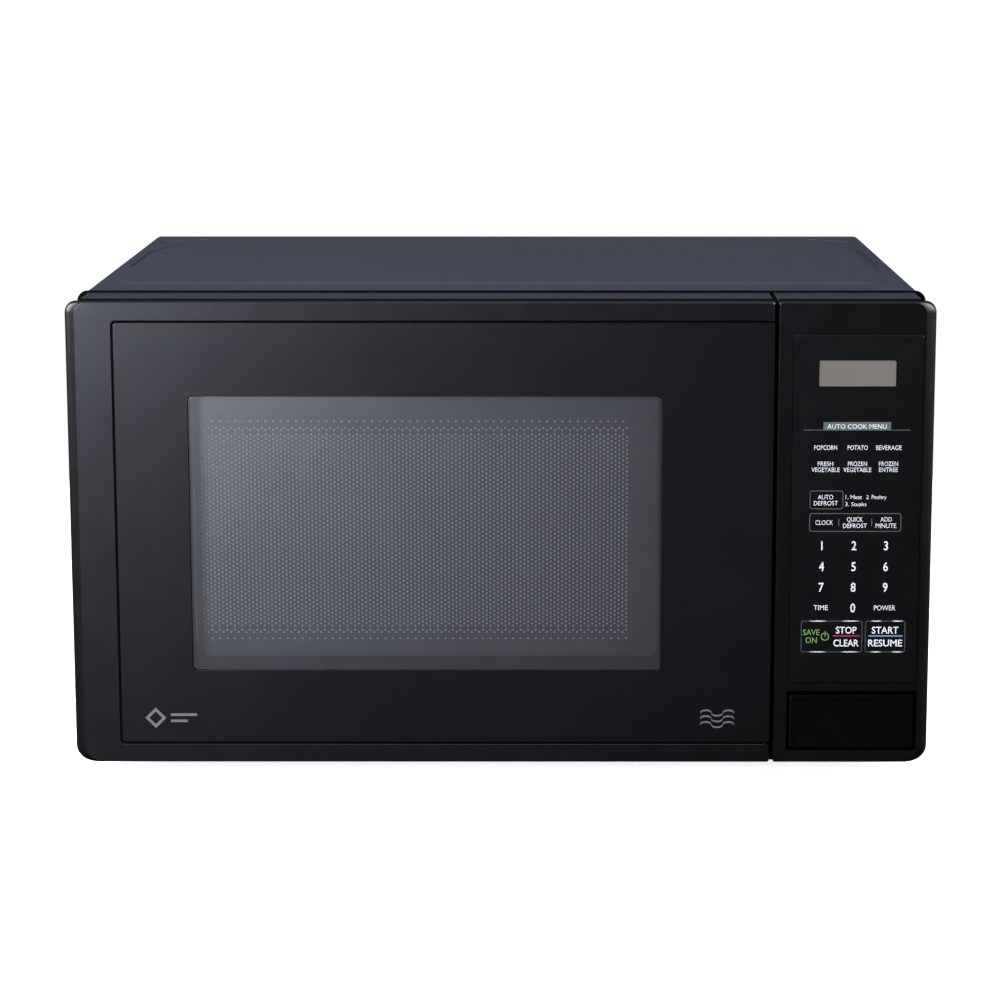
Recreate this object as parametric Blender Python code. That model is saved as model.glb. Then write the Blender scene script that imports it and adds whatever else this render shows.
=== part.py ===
"""A countertop microwave oven as separate pieces, in metres, +Z up, front towards -Y.

The origin is on the floor under the middle of the oven.
"""

import math

import bmesh
import bpy
from mathutils import Matrix, Vector

# The whole oven
WIDTH = 0.455
DEPTH = 0.330
HEIGHT = 0.258
HALF = WIDTH / 2
FRONT = -DEPTH / 2
BACK = DEPTH / 2
GAP = 0.0003
SHEET = 0.0010
TINY = 0.0010

# Front: door on the left, control panel on the right
FRONT_BOTTOM = 0.010
DOOR_RIGHT = 0.1430
PANEL_LEFT = 0.1449
DOOR_BACK = -0.1265
PLATE_FRONT = -0.1255
BOTTOM_CORNER = 0.0085
TOP_CORNER = 0.0060
SIDE_BAND = 0.0058

# Door layers
GLASS_LEFT, GLASS_BOTTOM, GLASS_TOP = -0.2032, 0.0199, 0.2481
GROOVE = 0.0013
GLASS_THICK = 0.0030
WINDOW = (-0.1637, 0.0846, 0.0606, 0.2082)
SIGHT = (-0.1680, 0.0900, 0.0560, 0.2130)
SCREEN_Y = -0.1510
SCREEN_EDGE = (-0.2050, 0.1180, 0.0190, 0.2490)
CHOKE_BACK = -0.1300
COVER_EDGE = (-0.2050, 0.1385, 0.0175, 0.2505)
COVER_BACK = -0.1268
FILM_THICK = 0.0004

# Door hinge
HINGE_X, HINGE_Y = -0.2175, -0.1385
HINGE_ARM_Z = (0.2433, 0.2453)
PIN_R = 0.0025

# Cabinet and cavity
CABINET_HALF = 0.2265
CABINET_TOP = 0.2568
BEND = 0.005
BASE_Z = 0.0120
REAR_Y = 0.1625
CAVITY = (-0.2000, 0.1130, 0.0290, 0.2250)
CAVITY_BACK = 0.1590

# Raised field on the cabinet's top
FIELD_X = 0.215
FIELD_FRONT = FRONT + 0.082
FIELD_BACK = FRONT + 0.312
FIELD_CORNER = 0.015
FIELD_REAR_ARC = (0.065, 0.084)

# Turntable
TURN_X = (CAVITY[0] + CAVITY[1]) / 2
TURN_Y = 0.0205
FLOOR_Z = CAVITY[2]
ROLLER_R = 0.0080
ROLLER_TRACK = 0.0960
TRAY_R = 0.1225
TRAY_Z = FLOOR_Z + 2 * ROLLER_R + 2 * GAP

# Control panel
INSET = (0.1529, 0.2205, 0.0540, 0.2403)
DISPLAY = (0.1661, 0.2068, 0.2131, 0.2274)
BUTTON = (0.1519, 0.2210, 0.0167, 0.0494)
STEM = (0.1560, 0.1640, 0.0280, 0.0360)

# Electrical bay
WAVE = (0.0000, 0.0900, 0.1300, 0.2000)
ANTENNA = (0.0450, 0.1650)
FAN_X, FAN_Z = 0.1700, 0.1900
FAN_R = 0.0390
LAMP = (-0.0500, 0.2000)
HOOK_Z = (0.1880, 0.0680)
HOOK_X = (0.1235, 0.1285)
LEVER_Y, LEVER_Z = -0.1060, 0.0620
GLAND_X, GLAND_Z = 0.1950, 0.0500

AXES = {"X": 0, "Y": 1, "Z": 2}
MATERIALS = {
    "body_gloss": ((0.035, 0.036, 0.042), 0.30, 0.0),
    "panel_black": ((0.012, 0.012, 0.014), 0.35, 0.0),
    "glass_black": ((0.015, 0.015, 0.018), 0.10, 0.0),
    "window_smoke": ((0.16, 0.17, 0.20), 0.12, 0.0),
    "cabinet_paint": ((0.055, 0.058, 0.080), 0.42, 0.2),
    "cavity_enamel": ((0.50, 0.50, 0.50), 0.45, 0.1),
    "steel": ((0.55, 0.55, 0.56), 0.40, 1.0),
    "plastic_white": ((0.75, 0.75, 0.72), 0.45, 0.0),
    "plastic_dark": ((0.05, 0.05, 0.05), 0.50, 0.0),
    "clear": ((0.80, 0.86, 0.85), 0.05, 0.0),
    "mica": ((0.45, 0.40, 0.30), 0.60, 0.0),
    "board_green": ((0.05, 0.20, 0.10), 0.50, 0.0),
    "copper": ((0.60, 0.28, 0.12), 0.40, 0.8),
    "rubber": ((0.02, 0.02, 0.02), 0.80, 0.0),
    "display_grey": ((0.15, 0.14, 0.14), 0.25, 0.0),
}


def clear_scene():
    for obj in list(bpy.data.objects):
        bpy.data.objects.remove(obj, do_unlink=True)


def material(name):
    """The named material, made the first time that it is asked for."""
    found = bpy.data.materials.get(name)
    if found:
        return found
    colour, roughness, metallic = MATERIALS[name]
    made = bpy.data.materials.new(name)
    made.use_nodes = True
    shader = made.node_tree.nodes["Principled BSDF"]
    shader.inputs["Base Color"].default_value = (*colour, 1)
    shader.inputs["Roughness"].default_value = roughness
    shader.inputs["Metallic"].default_value = metallic
    return made


def to_object(name, bm, look=None, origin=(0, 0, 0)):
    """Turns a bmesh in world places into an object whose origin is at the given point."""
    bmesh.ops.recalc_face_normals(bm, faces=bm.faces)
    mesh = bpy.data.meshes.new(name)
    bmesh.ops.translate(bm, vec=-Vector(origin), verts=bm.verts)
    bm.to_mesh(mesh)
    bm.free()
    obj = bpy.data.objects.new(name, mesh)
    obj.location = origin
    bpy.context.scene.collection.objects.link(obj)
    if look:
        mesh.materials.append(material(look))
    return obj


def boxes_mesh(boxes):
    """One bmesh with a cuboid for each (x0, x1, y0, y1, z0, z1)."""
    bm = bmesh.new()
    for x0, x1, y0, y1, z0, z1 in boxes:
        made = bmesh.ops.create_cube(bm, size=1)["verts"]
        bmesh.ops.scale(bm, vec=(x1 - x0, y1 - y0, z1 - z0), verts=made)
        middle = ((x0 + x1) / 2, (y0 + y1) / 2, (z0 + z1) / 2)
        bmesh.ops.translate(bm, vec=middle, verts=made)
    return bm


def rods_mesh(rods, sides=16):
    """One bmesh with a round rod for each (centre, axis letter, radius, low end, high end)."""
    bm = bmesh.new()
    turns = {
        "X": Matrix.Rotation(math.pi / 2, 3, "Y"),
        "Y": Matrix.Rotation(-math.pi / 2, 3, "X"),
        "Z": Matrix.Identity(3),
    }
    for centre, axis, radius, low, high in rods:
        made = bmesh.ops.create_cone(
            bm, cap_ends=True, segments=sides, radius1=radius, radius2=radius, depth=high - low
        )["verts"]
        bmesh.ops.rotate(bm, cent=(0, 0, 0), matrix=turns[axis], verts=made)
        place = list(centre)
        place.insert(AXES[axis], (low + high) / 2)
        bmesh.ops.translate(bm, vec=place, verts=made)
    return bm


def arc(cx, cy, rx, ry, start, end, steps=5):
    """Points of an elliptical arc, angles in degrees."""
    points = []
    for i in range(steps + 1):
        turn = math.radians(start + (end - start) * i / steps)
        points.append((cx + rx * math.cos(turn), cy + ry * math.sin(turn)))
    return points


def rounded(u0, u1, v0, v1, bl, br, tr, tl, steps=5):
    """A rectangle's outline with its own radius at each corner; a radius may be a pair."""
    outline = []
    corners = (
        (u0, v0, bl, 180, 1, 1),
        (u1, v0, br, 270, -1, 1),
        (u1, v1, tr, 0, -1, -1),
        (u0, v1, tl, 90, 1, -1),
    )
    for u, v, radius, start, du, dv in corners:
        if not radius:
            outline.append((u, v))
            continue
        ru, rv = radius if isinstance(radius, tuple) else (radius, radius)
        outline += arc(u + du * ru, v + dv * rv, ru, rv, start, start + 90, steps)
    return outline


def prism_mesh(outlines, axis, low, high):
    """Extrudes each outline along an axis. Outline points are the other two axes, in X, Y, Z order."""
    bm = bmesh.new()
    for outline in outlines:
        verts = []
        for point in outline:
            place = list(point)
            place.insert(AXES[axis], low)
            verts.append(bm.verts.new(place))
        face = bm.faces.new(verts)
        made = bmesh.ops.extrude_face_region(bm, geom=[face])["geom"]
        moved = [item for item in made if isinstance(item, bmesh.types.BMVert)]
        away = [0, 0, 0]
        away[AXES[axis]] = high - low
        bmesh.ops.translate(bm, vec=away, verts=moved)
    return bm


def plain_rect(area):
    return rounded(*area, 0, 0, 0, 0)


def grow(area, by):
    return (area[0] - by, area[1] + by, area[2] - by, area[3] + by)


def shape(obj, how, bm, label):
    """Adds a Boolean with a hidden helper made from the bmesh."""
    helper = to_object(f"{obj.name}.{label}", bm)
    helper.hide_render = True
    helper.display_type = "WIRE"
    modifier = obj.modifiers.new(label, "BOOLEAN")
    modifier.operation = how
    modifier.solver = "EXACT"
    modifier.object = helper
    return obj


def cut(obj, bm, label):
    return shape(obj, "DIFFERENCE", bm, label)


def add(obj, bm, label):
    return shape(obj, "UNION", bm, label)


def box_piece(name, look, *boxes, origin=(0, 0, 0)):
    """A piece of one or more cuboids, joined into one solid."""
    obj = to_object(name, boxes_mesh(boxes[:1]), look, origin)
    for i, box in enumerate(boxes[1:]):
        add(obj, boxes_mesh([box]), f"box{i}")
    return obj


def slot_row(low, high, count, share, build):
    """Evenly spaced slots between two places; build turns each slot's ends into a box."""
    pitch = (high - low) / count
    return [build(low + pitch * i, low + pitch * (i + share)) for i in range(count)]


def field_outline(inset=0.0):
    """The raised field on the top: small arcs at the front corners, long ones at the rear."""
    rear = (FIELD_REAR_ARC[0] - inset, FIELD_REAR_ARC[1] - inset)
    near = FIELD_CORNER - inset
    area = (-FIELD_X + inset, FIELD_X - inset, FIELD_FRONT + inset, FIELD_BACK - inset)
    return rounded(*area, near, near, rear, rear, steps=8)


def outer_cabinet():
    inner = CABINET_HALF - SHEET
    outline = [(-CABINET_HALF, BASE_Z)]
    outline += arc(-CABINET_HALF + BEND, CABINET_TOP - BEND, BEND, BEND, 180, 90)
    outline += arc(CABINET_HALF - BEND, CABINET_TOP - BEND, BEND, BEND, 90, 0)
    outline += [(CABINET_HALF, BASE_Z), (inner, BASE_Z)]
    outline += arc(CABINET_HALF - BEND, CABINET_TOP - BEND, BEND - SHEET, BEND - SHEET, 0, 90)
    outline += arc(-CABINET_HALF + BEND, CABINET_TOP - BEND, BEND - SHEET, BEND - SHEET, 90, 180)
    outline += [(-inner, BASE_Z)]
    obj = to_object("outer_cabinet", prism_mesh([outline], "Y", PLATE_FRONT, BACK), "cabinet_paint")
    add(obj, prism_mesh([field_outline()], "Z", CABINET_TOP - SHEET / 2, HEIGHT), "field")
    inside = prism_mesh([field_outline(SHEET)], "Z", CABINET_TOP - 2 * SHEET, HEIGHT - SHEET)
    cut(obj, inside, "field_inside")
    vents = []
    for z0, z1 in ((0.150, 0.172), (0.180, 0.202)):
        right = (inner - TINY, CABINET_HALF + TINY)
        vents += slot_row(0.030, 0.120, 9, 0.35, lambda a, b: (*right, a, b, z0, z1))
    left = (-CABINET_HALF - TINY, -inner + TINY)
    vents += slot_row(-0.060, 0.020, 8, 0.35, lambda a, b: (*left, a, b, 0.160, 0.190))
    return cut(obj, boxes_mesh(vents), "vents")


def base_plate():
    half = CABINET_HALF - SHEET - GAP
    y0, y1 = PLATE_FRONT + SHEET + GAP, REAR_Y - GAP
    flange_top = 0.0230
    obj = box_piece(
        "base_plate",
        "steel",
        (-half, half, y0, y1, BASE_Z, BASE_Z + SHEET),
        (-half, -half + SHEET, y0, y1, BASE_Z, flange_top),
        (half - SHEET, half, y0, y1, BASE_Z, flange_top),
    )
    slots = slot_row(0.130, 0.210, 8, 0.45, lambda a, b: (a, b, -0.010, 0.020, 0.0, 0.02))
    return cut(obj, boxes_mesh(slots), "vents")


def feet():
    for side, x in (("left", -0.190), ("right", 0.190)):
        for end, y in (("front", -0.105), ("rear", 0.135)):
            bm = rods_mesh([((x, y), "Z", 0.0095, 0.0, BASE_Z - GAP)])
            low = [v for v in bm.verts if v.co.z < 0.001]
            bmesh.ops.scale(bm, vec=(0.85, 0.85, 1), space=Matrix.Translation((-x, -y, 0)), verts=low)
            to_object(f"foot_{end}_{side}", bm, "rubber")


def inside_cabinet(bottom):
    """The outline of a sheet that fills the cabinet's inside, from a given height up to its roof."""
    half = CABINET_HALF - SHEET - GAP
    return rounded(-half, half, bottom, CABINET_TOP - SHEET - GAP, 0, 0, BEND - SHEET, BEND - SHEET)


def rear_panel():
    panel = prism_mesh([inside_cabinet(BASE_Z + SHEET + GAP)], "Y", REAR_Y, REAR_Y + SHEET)
    obj = to_object("rear_panel", panel, "cabinet_paint")
    through = (REAR_Y - TINY, REAR_Y + SHEET + TINY)
    slots = slot_row(0.158, 0.224, 8, 0.5, lambda a, b: (FAN_X - 0.030, FAN_X + 0.030, *through, a, b))
    slots += slot_row(-0.160, -0.040, 12, 0.4, lambda a, b: (a, b, *through, 0.190, 0.220))
    cut(obj, boxes_mesh(slots), "vents")
    holes = [((x, z), "Y", 0.0019, *through) for x, z in screw_places()]
    holes.append(((GLAND_X, GLAND_Z), "Y", 0.0060, *through))
    return cut(obj, rods_mesh(holes), "holes")


def screw_places():
    return ((-0.2150, 0.2440), (0.2150, 0.2440))


def rear_screws():
    for name, (x, z) in zip(("left", "right"), screw_places()):
        head = REAR_Y + SHEET + GAP
        obj = to_object(
            f"rear_screw_{name}", rods_mesh([((x, z), "Y", 0.0034, head, BACK)], 12), "steel"
        )
        add(obj, rods_mesh([((x, z), "Y", 0.0015, 0.1530, head + TINY / 2)], 8), "shank")


def cord_gland():
    at = (GLAND_X, GLAND_Z)
    obj = to_object("cord_gland", rods_mesh([(at, "Y", 0.0056, 0.1610, BACK)]), "plastic_dark")
    add(obj, rods_mesh([(at, "Y", 0.0090, REAR_Y + SHEET + GAP, BACK - GAP)]), "outer_flange")
    add(obj, rods_mesh([(at, "Y", 0.0080, 0.1605, REAR_Y - GAP)]), "inner_flange")
    return cut(obj, rods_mesh([(at, "Y", 0.0035, 0.15, 0.17)]), "bore")


def front_plate():
    plate = prism_mesh([inside_cabinet(BASE_Z)], "Y", PLATE_FRONT, PLATE_FRONT + SHEET)
    obj = to_object("front_plate", plate, "cavity_enamel")
    through = (PLATE_FRONT - TINY, PLATE_FRONT + SHEET + TINY)
    opening = rounded(*CAVITY, 0.006, 0.006, 0.006, 0.006, 3)
    cut(obj, prism_mesh([opening], "Y", *through), "oven_opening")
    holes = [(0.1500, 0.2220, *through, 0.0560, 0.2480)]
    holes += [(STEM[0] - 0.0015, STEM[1] + 0.0015, *through, STEM[2] - 0.0015, STEM[3] + 0.0015)]
    holes += [(0.1215, 0.1325, *through, z - 0.012, z + 0.012) for z in HOOK_Z]
    for z0, z1 in (HINGE_ARM_Z, mirrored(HINGE_ARM_Z)):
        holes.append((HINGE_X - 0.0065, HINGE_X + 0.0065, *through, z0 - 0.0008, z1 + 0.0008))
    return cut(obj, boxes_mesh(holes), "holes")


def mirrored(span):
    """The same heights, measured down from the front's top instead of up from its bottom."""
    total = FRONT_BOTTOM + HEIGHT
    return (total - span[1], total - span[0])


def cavity():
    x0, x1, z0, z1 = CAVITY
    ahead = PLATE_FRONT + SHEET + GAP
    obj = box_piece(
        "cavity",
        "cavity_enamel",
        (x0 - SHEET, x1 + SHEET, ahead, CAVITY_BACK + SHEET, z0 - SHEET, z1 + SHEET),
    )
    cut(obj, boxes_mesh([(x0, x1, ahead - TINY, CAVITY_BACK, z0, z1)]), "inside")
    side = (x1 - TINY, x1 + 2 * SHEET)
    port = (*side, WAVE[0] + 0.010, WAVE[1] - 0.010, WAVE[2] + 0.010, WAVE[3] - 0.010)
    left = (x0 - 2 * SHEET, x0 + TINY)
    exhaust = slot_row(0.040, 0.100, 8, 0.4, lambda a, b: (*left, a, b, 0.185, 0.205))
    cut(obj, boxes_mesh([port] + exhaust), "ports")
    shaft = ((TURN_X, TURN_Y), "Z", 0.0060, z0 - 2 * SHEET, z0 + TINY)
    lamp = (LAMP, "X", 0.0090, *side)
    return cut(obj, rods_mesh([shaft, lamp]), "holes")


def waveguide():
    x0 = CAVITY[1] + SHEET + GAP
    depth = 0.0200
    obj = box_piece("waveguide", "steel", (x0, x0 + depth, *WAVE))
    inside = (x0 - TINY, x0 + depth - SHEET, *grow(WAVE, -SHEET))
    cut(obj, boxes_mesh([inside]), "inside")
    return cut(obj, rods_mesh([(ANTENNA, "X", 0.0100, x0, x0 + depth + TINY)]), "antenna_hole")


def waveguide_cover():
    x1 = CAVITY[1] - GAP
    return box_piece("waveguide_cover", "mica", (x1 - 0.0006, x1, *grow(WAVE, -0.002)))


def magnetron():
    obj = box_piece(
        "magnetron",
        "steel",
        (0.1400, 0.2050, 0.0080, 0.0820, 0.1350, 0.1950),
        (0.2045, 0.2180, 0.0200, 0.0700, 0.1400, 0.1900),
    )
    fins = slot_row(0.1460, 0.2000, 7, 0.72, lambda a, b: (a, b, 0.0, 0.09, 0.1390, 0.1910))
    cut(obj, boxes_mesh(fins), "fin_gaps")
    add(obj, rods_mesh([(ANTENNA, "X", 0.0180, 0.1410, 0.2040)]), "anode")
    add(obj, rods_mesh([(ANTENNA, "X", 0.0170, 0.1349, 0.1405)]), "collar")
    return add(obj, rods_mesh([(ANTENNA, "X", 0.0070, 0.1200, 0.1352)], 12), "antenna")


def transformer():
    core = box_piece("transformer_core", "steel", (0.1280, 0.2120, 0.0300, 0.0800, 0.0160, 0.0900))
    windows = [(0.1400, 0.2000, 0.02, 0.09, a, b) for a, b in ((0.0260, 0.0460), (0.0600, 0.0800))]
    cut(core, boxes_mesh(windows), "windows")
    for name, x0, x1 in (("primary", 0.1404, 0.1680), ("secondary", 0.1710, 0.1996)):
        coil = box_piece(f"transformer_{name}", "copper", (x0, x1, 0.0200, 0.0900, 0.0264, 0.0796))
        cut(coil, boxes_mesh([(x0 - TINY, x1 + TINY, 0.0296, 0.0804, 0.0456, 0.0604)]), "leg_hole")


def capacitor_and_diode():
    can = rounded(0.1620, 0.2140, -0.0600, -0.0260, 0.0168, 0.0168, 0.0168, 0.0168, 4)
    obj = to_object("hv_capacitor", prism_mesh([can], "Z", 0.0145, 0.1000), "steel")
    for i, x in enumerate((0.1780, 0.1980)):
        add(obj, boxes_mesh([(x - 0.003, x + 0.003, -0.0436, -0.0424, 0.0990, 0.1090)]), f"tab{i}")
    body = rods_mesh([((-0.0430, 0.1150), "X", 0.0040, 0.1790, 0.1970)], 12)
    diode = to_object("hv_diode", body, "plastic_dark")
    add(diode, boxes_mesh([(0.1772, 0.1988, -0.0436, -0.0424, 0.1144, 0.1156)]), "leads")


def fan():
    motor = box_piece(
        "fan_motor",
        "steel",
        (FAN_X - 0.020, FAN_X + 0.020, 0.1000, 0.1200, FAN_Z - 0.020, FAN_Z + 0.020),
        (FAN_X + 0.0195, FAN_X + 0.034, 0.1020, 0.1180, FAN_Z - 0.012, FAN_Z + 0.012),
    )
    add(motor, rods_mesh([((FAN_X, FAN_Z), "Y", 0.0015, 0.1190, 0.1450)], 8), "shaft")
    frame = 0.0460
    shroud = box_piece(
        "fan_shroud",
        "plastic_white",
        (FAN_X - frame, FAN_X + frame, 0.1280, 0.1500, FAN_Z - frame, FAN_Z + frame),
    )
    cut(shroud, rods_mesh([((FAN_X, FAN_Z), "Y", FAN_R + 0.003, 0.12, 0.16)], 24), "throat")
    for i, z in enumerate((FAN_Z - 0.014, FAN_Z + 0.014)):
        bar = (FAN_X - frame, FAN_X + frame, 0.1203, 0.1290, z - 0.003, z + 0.003)
        add(shroud, boxes_mesh([bar]), f"bar{i}")
    bm = rods_mesh([((FAN_X, FAN_Z), "Y", 0.0090, 0.1310, 0.1480)])
    blade = to_object("fan_blade", bm, "plastic_white", (FAN_X, 0.1395, FAN_Z))
    for i in range(5):
        wing = boxes_mesh([(0.0060, FAN_R, -0.0006, 0.0006, -0.0090, 0.0090)])
        pitch = Matrix.Rotation(math.radians(58), 3, "X")
        bmesh.ops.rotate(wing, cent=(0, 0, 0), matrix=pitch, verts=wing.verts)
        spin = Matrix.Rotation(math.radians(72 * i), 3, "Y")
        bmesh.ops.rotate(wing, cent=(0, 0, 0), matrix=spin, verts=wing.verts)
        bmesh.ops.translate(wing, vec=(FAN_X, 0.1395, FAN_Z), verts=wing.verts)
        add(blade, wing, f"wing{i}")
    cut(blade, rods_mesh([((FAN_X, FAN_Z), "Y", 0.0019, 0.13, 0.1460)], 12), "bore")


def boards():
    control = box_piece(
        "control_board",
        "board_green",
        (0.1500, 0.2220, -0.1547, -0.1531, 0.0560, 0.2480),
        (0.1560, 0.1900, -0.1535, -0.1300, 0.0700, 0.1050),
        (0.1560, 0.1760, -0.1535, -0.1370, 0.1250, 0.1410),
        (0.1900, 0.2100, -0.1535, -0.1370, 0.1250, 0.1410),
        (0.1900, 0.2060, -0.1535, -0.1480, 0.1700, 0.1860),
    )
    add(control, rods_mesh([((0.2060, 0.0880), "Y", 0.0060, -0.1535, -0.1380)], 12), "smoothing_capacitor")
    box_piece("display_module", "plastic_white", (0.1640, 0.2090, -0.1610, -0.1550, 0.2090, 0.2310))
    line = box_piece(
        "line_filter_board",
        "board_green",
        (0.1400, 0.2160, 0.0980, 0.1480, 0.1080, 0.1096),
        (0.1500, 0.1640, 0.1050, 0.1350, 0.1090, 0.1260),
        (0.1760, 0.2000, 0.1300, 0.1350, 0.1090, 0.1180),
    )
    add(line, rods_mesh([((0.1900, 0.1150), "Z", 0.0110, 0.1090, 0.1210)]), "choke_coil")


def lamp():
    y, z = LAMP
    block = (0.1340, 0.1480, y - 0.011, y + 0.011, z - 0.011, z + 0.011)
    socket = box_piece("lamp_socket", "plastic_white", block)
    cut(socket, rods_mesh([(LAMP, "X", 0.0055, 0.1330, 0.1440)], 12), "thread")
    bulb = to_object("oven_lamp", rods_mesh([(LAMP, "X", 0.0050, 0.1300, 0.1436)], 12), "clear")
    bm = bmesh.new()
    bmesh.ops.create_uvsphere(bm, u_segments=12, v_segments=8, radius=0.0075)
    bmesh.ops.translate(bm, vec=(0.1250, y, z), verts=bm.verts)
    add(bulb, bm, "bulb")


def turntable():
    at = (TURN_X, TURN_Y)
    motor = to_object("turntable_motor", rods_mesh([(at, "Z", 0.0245, 0.0145, 0.0270)], 24), "steel")
    add(motor, rods_mesh([(at, "Z", 0.0030, 0.0265, 0.0370)], 12), "shaft")
    drive_coupler()
    roller_ring()
    glass_tray()


def radial_box(r0, r1, half_width, z0, z1, degrees):
    bm = boxes_mesh([(r0, r1, -half_width, half_width, z0, z1)])
    turn = Matrix.Rotation(math.radians(degrees), 3, "Z")
    bmesh.ops.rotate(bm, cent=(0, 0, 0), matrix=turn, verts=bm.verts)
    bmesh.ops.translate(bm, vec=(TURN_X, TURN_Y, 0), verts=bm.verts)
    return bm


def drive_coupler():
    at = (TURN_X, TURN_Y)
    top = TRAY_Z - 0.0012
    hub = rods_mesh([(at, "Z", 0.0095, FLOOR_Z + 0.0008, top)])
    obj = to_object("drive_coupler", hub, "plastic_white", (*at, 0))
    for i in range(3):
        add(obj, radial_box(0.002, 0.0240, 0.0035, 0.0385, top, 120 * i), f"arm{i}")
    return cut(obj, rods_mesh([(at, "Z", 0.0034, 0.02, 0.0380)], 12), "bore")


def roller_ring():
    at = (TURN_X, TURN_Y)
    z = FLOOR_Z + GAP + ROLLER_R
    low, high = z - 0.0028, z + 0.0030
    outer = ROLLER_TRACK - 0.0060
    disc = rods_mesh([(at, "Z", outer, low, high)], 48)
    obj = to_object("roller_ring", disc, "plastic_white", (*at, 0))
    cut(obj, rods_mesh([(at, "Z", outer - 0.0060, 0.02, 0.05)], 48), "hole")
    for i in range(3):
        turn = Matrix.Rotation(math.radians(90 + 120 * i), 4, "Z")
        place = Matrix.Translation((*at, 0)) @ turn
        for part, radius, r0, r1 in (("axle", 0.0025, -0.0070, 0.0040), ("stop", 0.0045, 0.0030, 0.0050)):
            bm = rods_mesh([((0, z), "X", radius, ROLLER_TRACK + r0, ROLLER_TRACK + r1)], 12)
            bmesh.ops.transform(bm, matrix=place, verts=bm.verts)
            add(obj, bm, f"{part}{i}")
        bm = rods_mesh([((0, z), "X", ROLLER_R, ROLLER_TRACK - 0.0025, ROLLER_TRACK + 0.0025)], 24)
        bmesh.ops.transform(bm, matrix=place, verts=bm.verts)
        roller = to_object(f"roller_{i + 1}", bm, "plastic_white", place @ Vector((ROLLER_TRACK, 0, z)))
        bore = rods_mesh([((0, z), "X", 0.0029, ROLLER_TRACK - 0.004, ROLLER_TRACK + 0.004)], 12)
        bmesh.ops.transform(bore, matrix=place, verts=bore.verts)
        cut(roller, bore, "bore")


def glass_tray():
    """A flat glass disc with a shallow rising rim and three driving lugs underneath."""
    thick = 0.0040
    rise = 0.0070
    profile = [
        (0, 0),
        (TRAY_R - 0.0150, 0),
        (TRAY_R - 0.0060, rise * 0.35),
        (TRAY_R, rise),
        (TRAY_R, rise + thick * 0.7),
        (TRAY_R - 0.0020, rise + thick),
        (TRAY_R - 0.0100, rise * 0.5 + thick),
        (TRAY_R - 0.0180, thick),
        (0, thick),
    ]
    bm = bmesh.new()
    verts = [bm.verts.new((r, 0, TRAY_Z + z)) for r, z in profile]
    edges = [bm.edges.new(pair) for pair in zip(verts, verts[1:])]
    bmesh.ops.spin(
        bm, geom=verts + edges, cent=(0, 0, 0), axis=(0, 0, 1), angle=2 * math.pi, steps=48, use_merge=True
    )
    bmesh.ops.remove_doubles(bm, verts=bm.verts, dist=1e-6)
    bmesh.ops.translate(bm, vec=(TURN_X, TURN_Y, 0), verts=bm.verts)
    obj = to_object("glass_tray", bm, "clear", (TURN_X, TURN_Y, 0))
    for i in range(3):
        lug = radial_box(0.0130, 0.0220, 0.0030, TRAY_Z - 0.0050, TRAY_Z + 0.001, 60 + 120 * i)
        add(obj, lug, f"lug{i}")
    return obj


def front_outline(x0, x1, left_corners, right_corners):
    """A front piece's outline, seen from the front: bottom and top corner radii on each side."""
    radii = (left_corners[0], right_corners[0], right_corners[1], left_corners[1])
    return rounded(x0, x1, FRONT_BOTTOM, HEIGHT, *radii)


def door_frame():
    outline = front_outline(-HALF, DOOR_RIGHT, (BOTTOM_CORNER, TOP_CORNER), (0.0012, 0.0012))
    block = prism_mesh([outline], "Y", FRONT, DOOR_BACK)
    obj = to_object("door_frame", block, "body_gloss", (HINGE_X, HINGE_Y, 0))
    plan = rounded(-HALF, DOOR_RIGHT, FRONT, DOOR_BACK, (SIDE_BAND, 0.0030), 0.0008, 0.0012, 0.0090)
    shape(obj, "INTERSECT", prism_mesh([plan], "Z", 0.0, 0.3), "plan")
    seat = rounded(GLASS_LEFT, DOOR_RIGHT + 0.01, GLASS_BOTTOM, GLASS_TOP, 0.0025, 0, 0, 0.0025, 3)
    cut(obj, prism_mesh([seat], "Y", FRONT - TINY, FRONT + GLASS_THICK + GAP), "glass_seat")
    sight = rounded(*SIGHT, 0.003, 0.003, 0.003, 0.003, 3)
    cut(obj, prism_mesh([sight], "Y", FRONT, SCREEN_Y), "sight_opening")
    pocket = (-0.2060, 0.1400, -0.1550, DOOR_BACK + TINY, 0.0160, 0.2520)
    arms = [slot_for_arm(HINGE_ARM_Z, up=True), slot_for_arm(mirrored(HINGE_ARM_Z), up=False)]
    cut(obj, boxes_mesh([pocket] + arms), "pocket_and_arm_slots")
    spans = [(0.2315, 0.2500), mirrored((0.2315, 0.2500))]
    pins = [((HINGE_X, HINGE_Y), "Z", 0.0029, *span) for span in spans]
    return cut(obj, rods_mesh(pins), "pin_holes")


def slot_for_arm(span, up):
    head = 0.0032
    low = span[0] - GAP - (0 if up else head)
    high = span[1] + GAP + (head if up else 0)
    return (-HALF - TINY, HINGE_X + 0.0085, HINGE_Y - 0.0090, DOOR_BACK + TINY, low, high)


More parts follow.
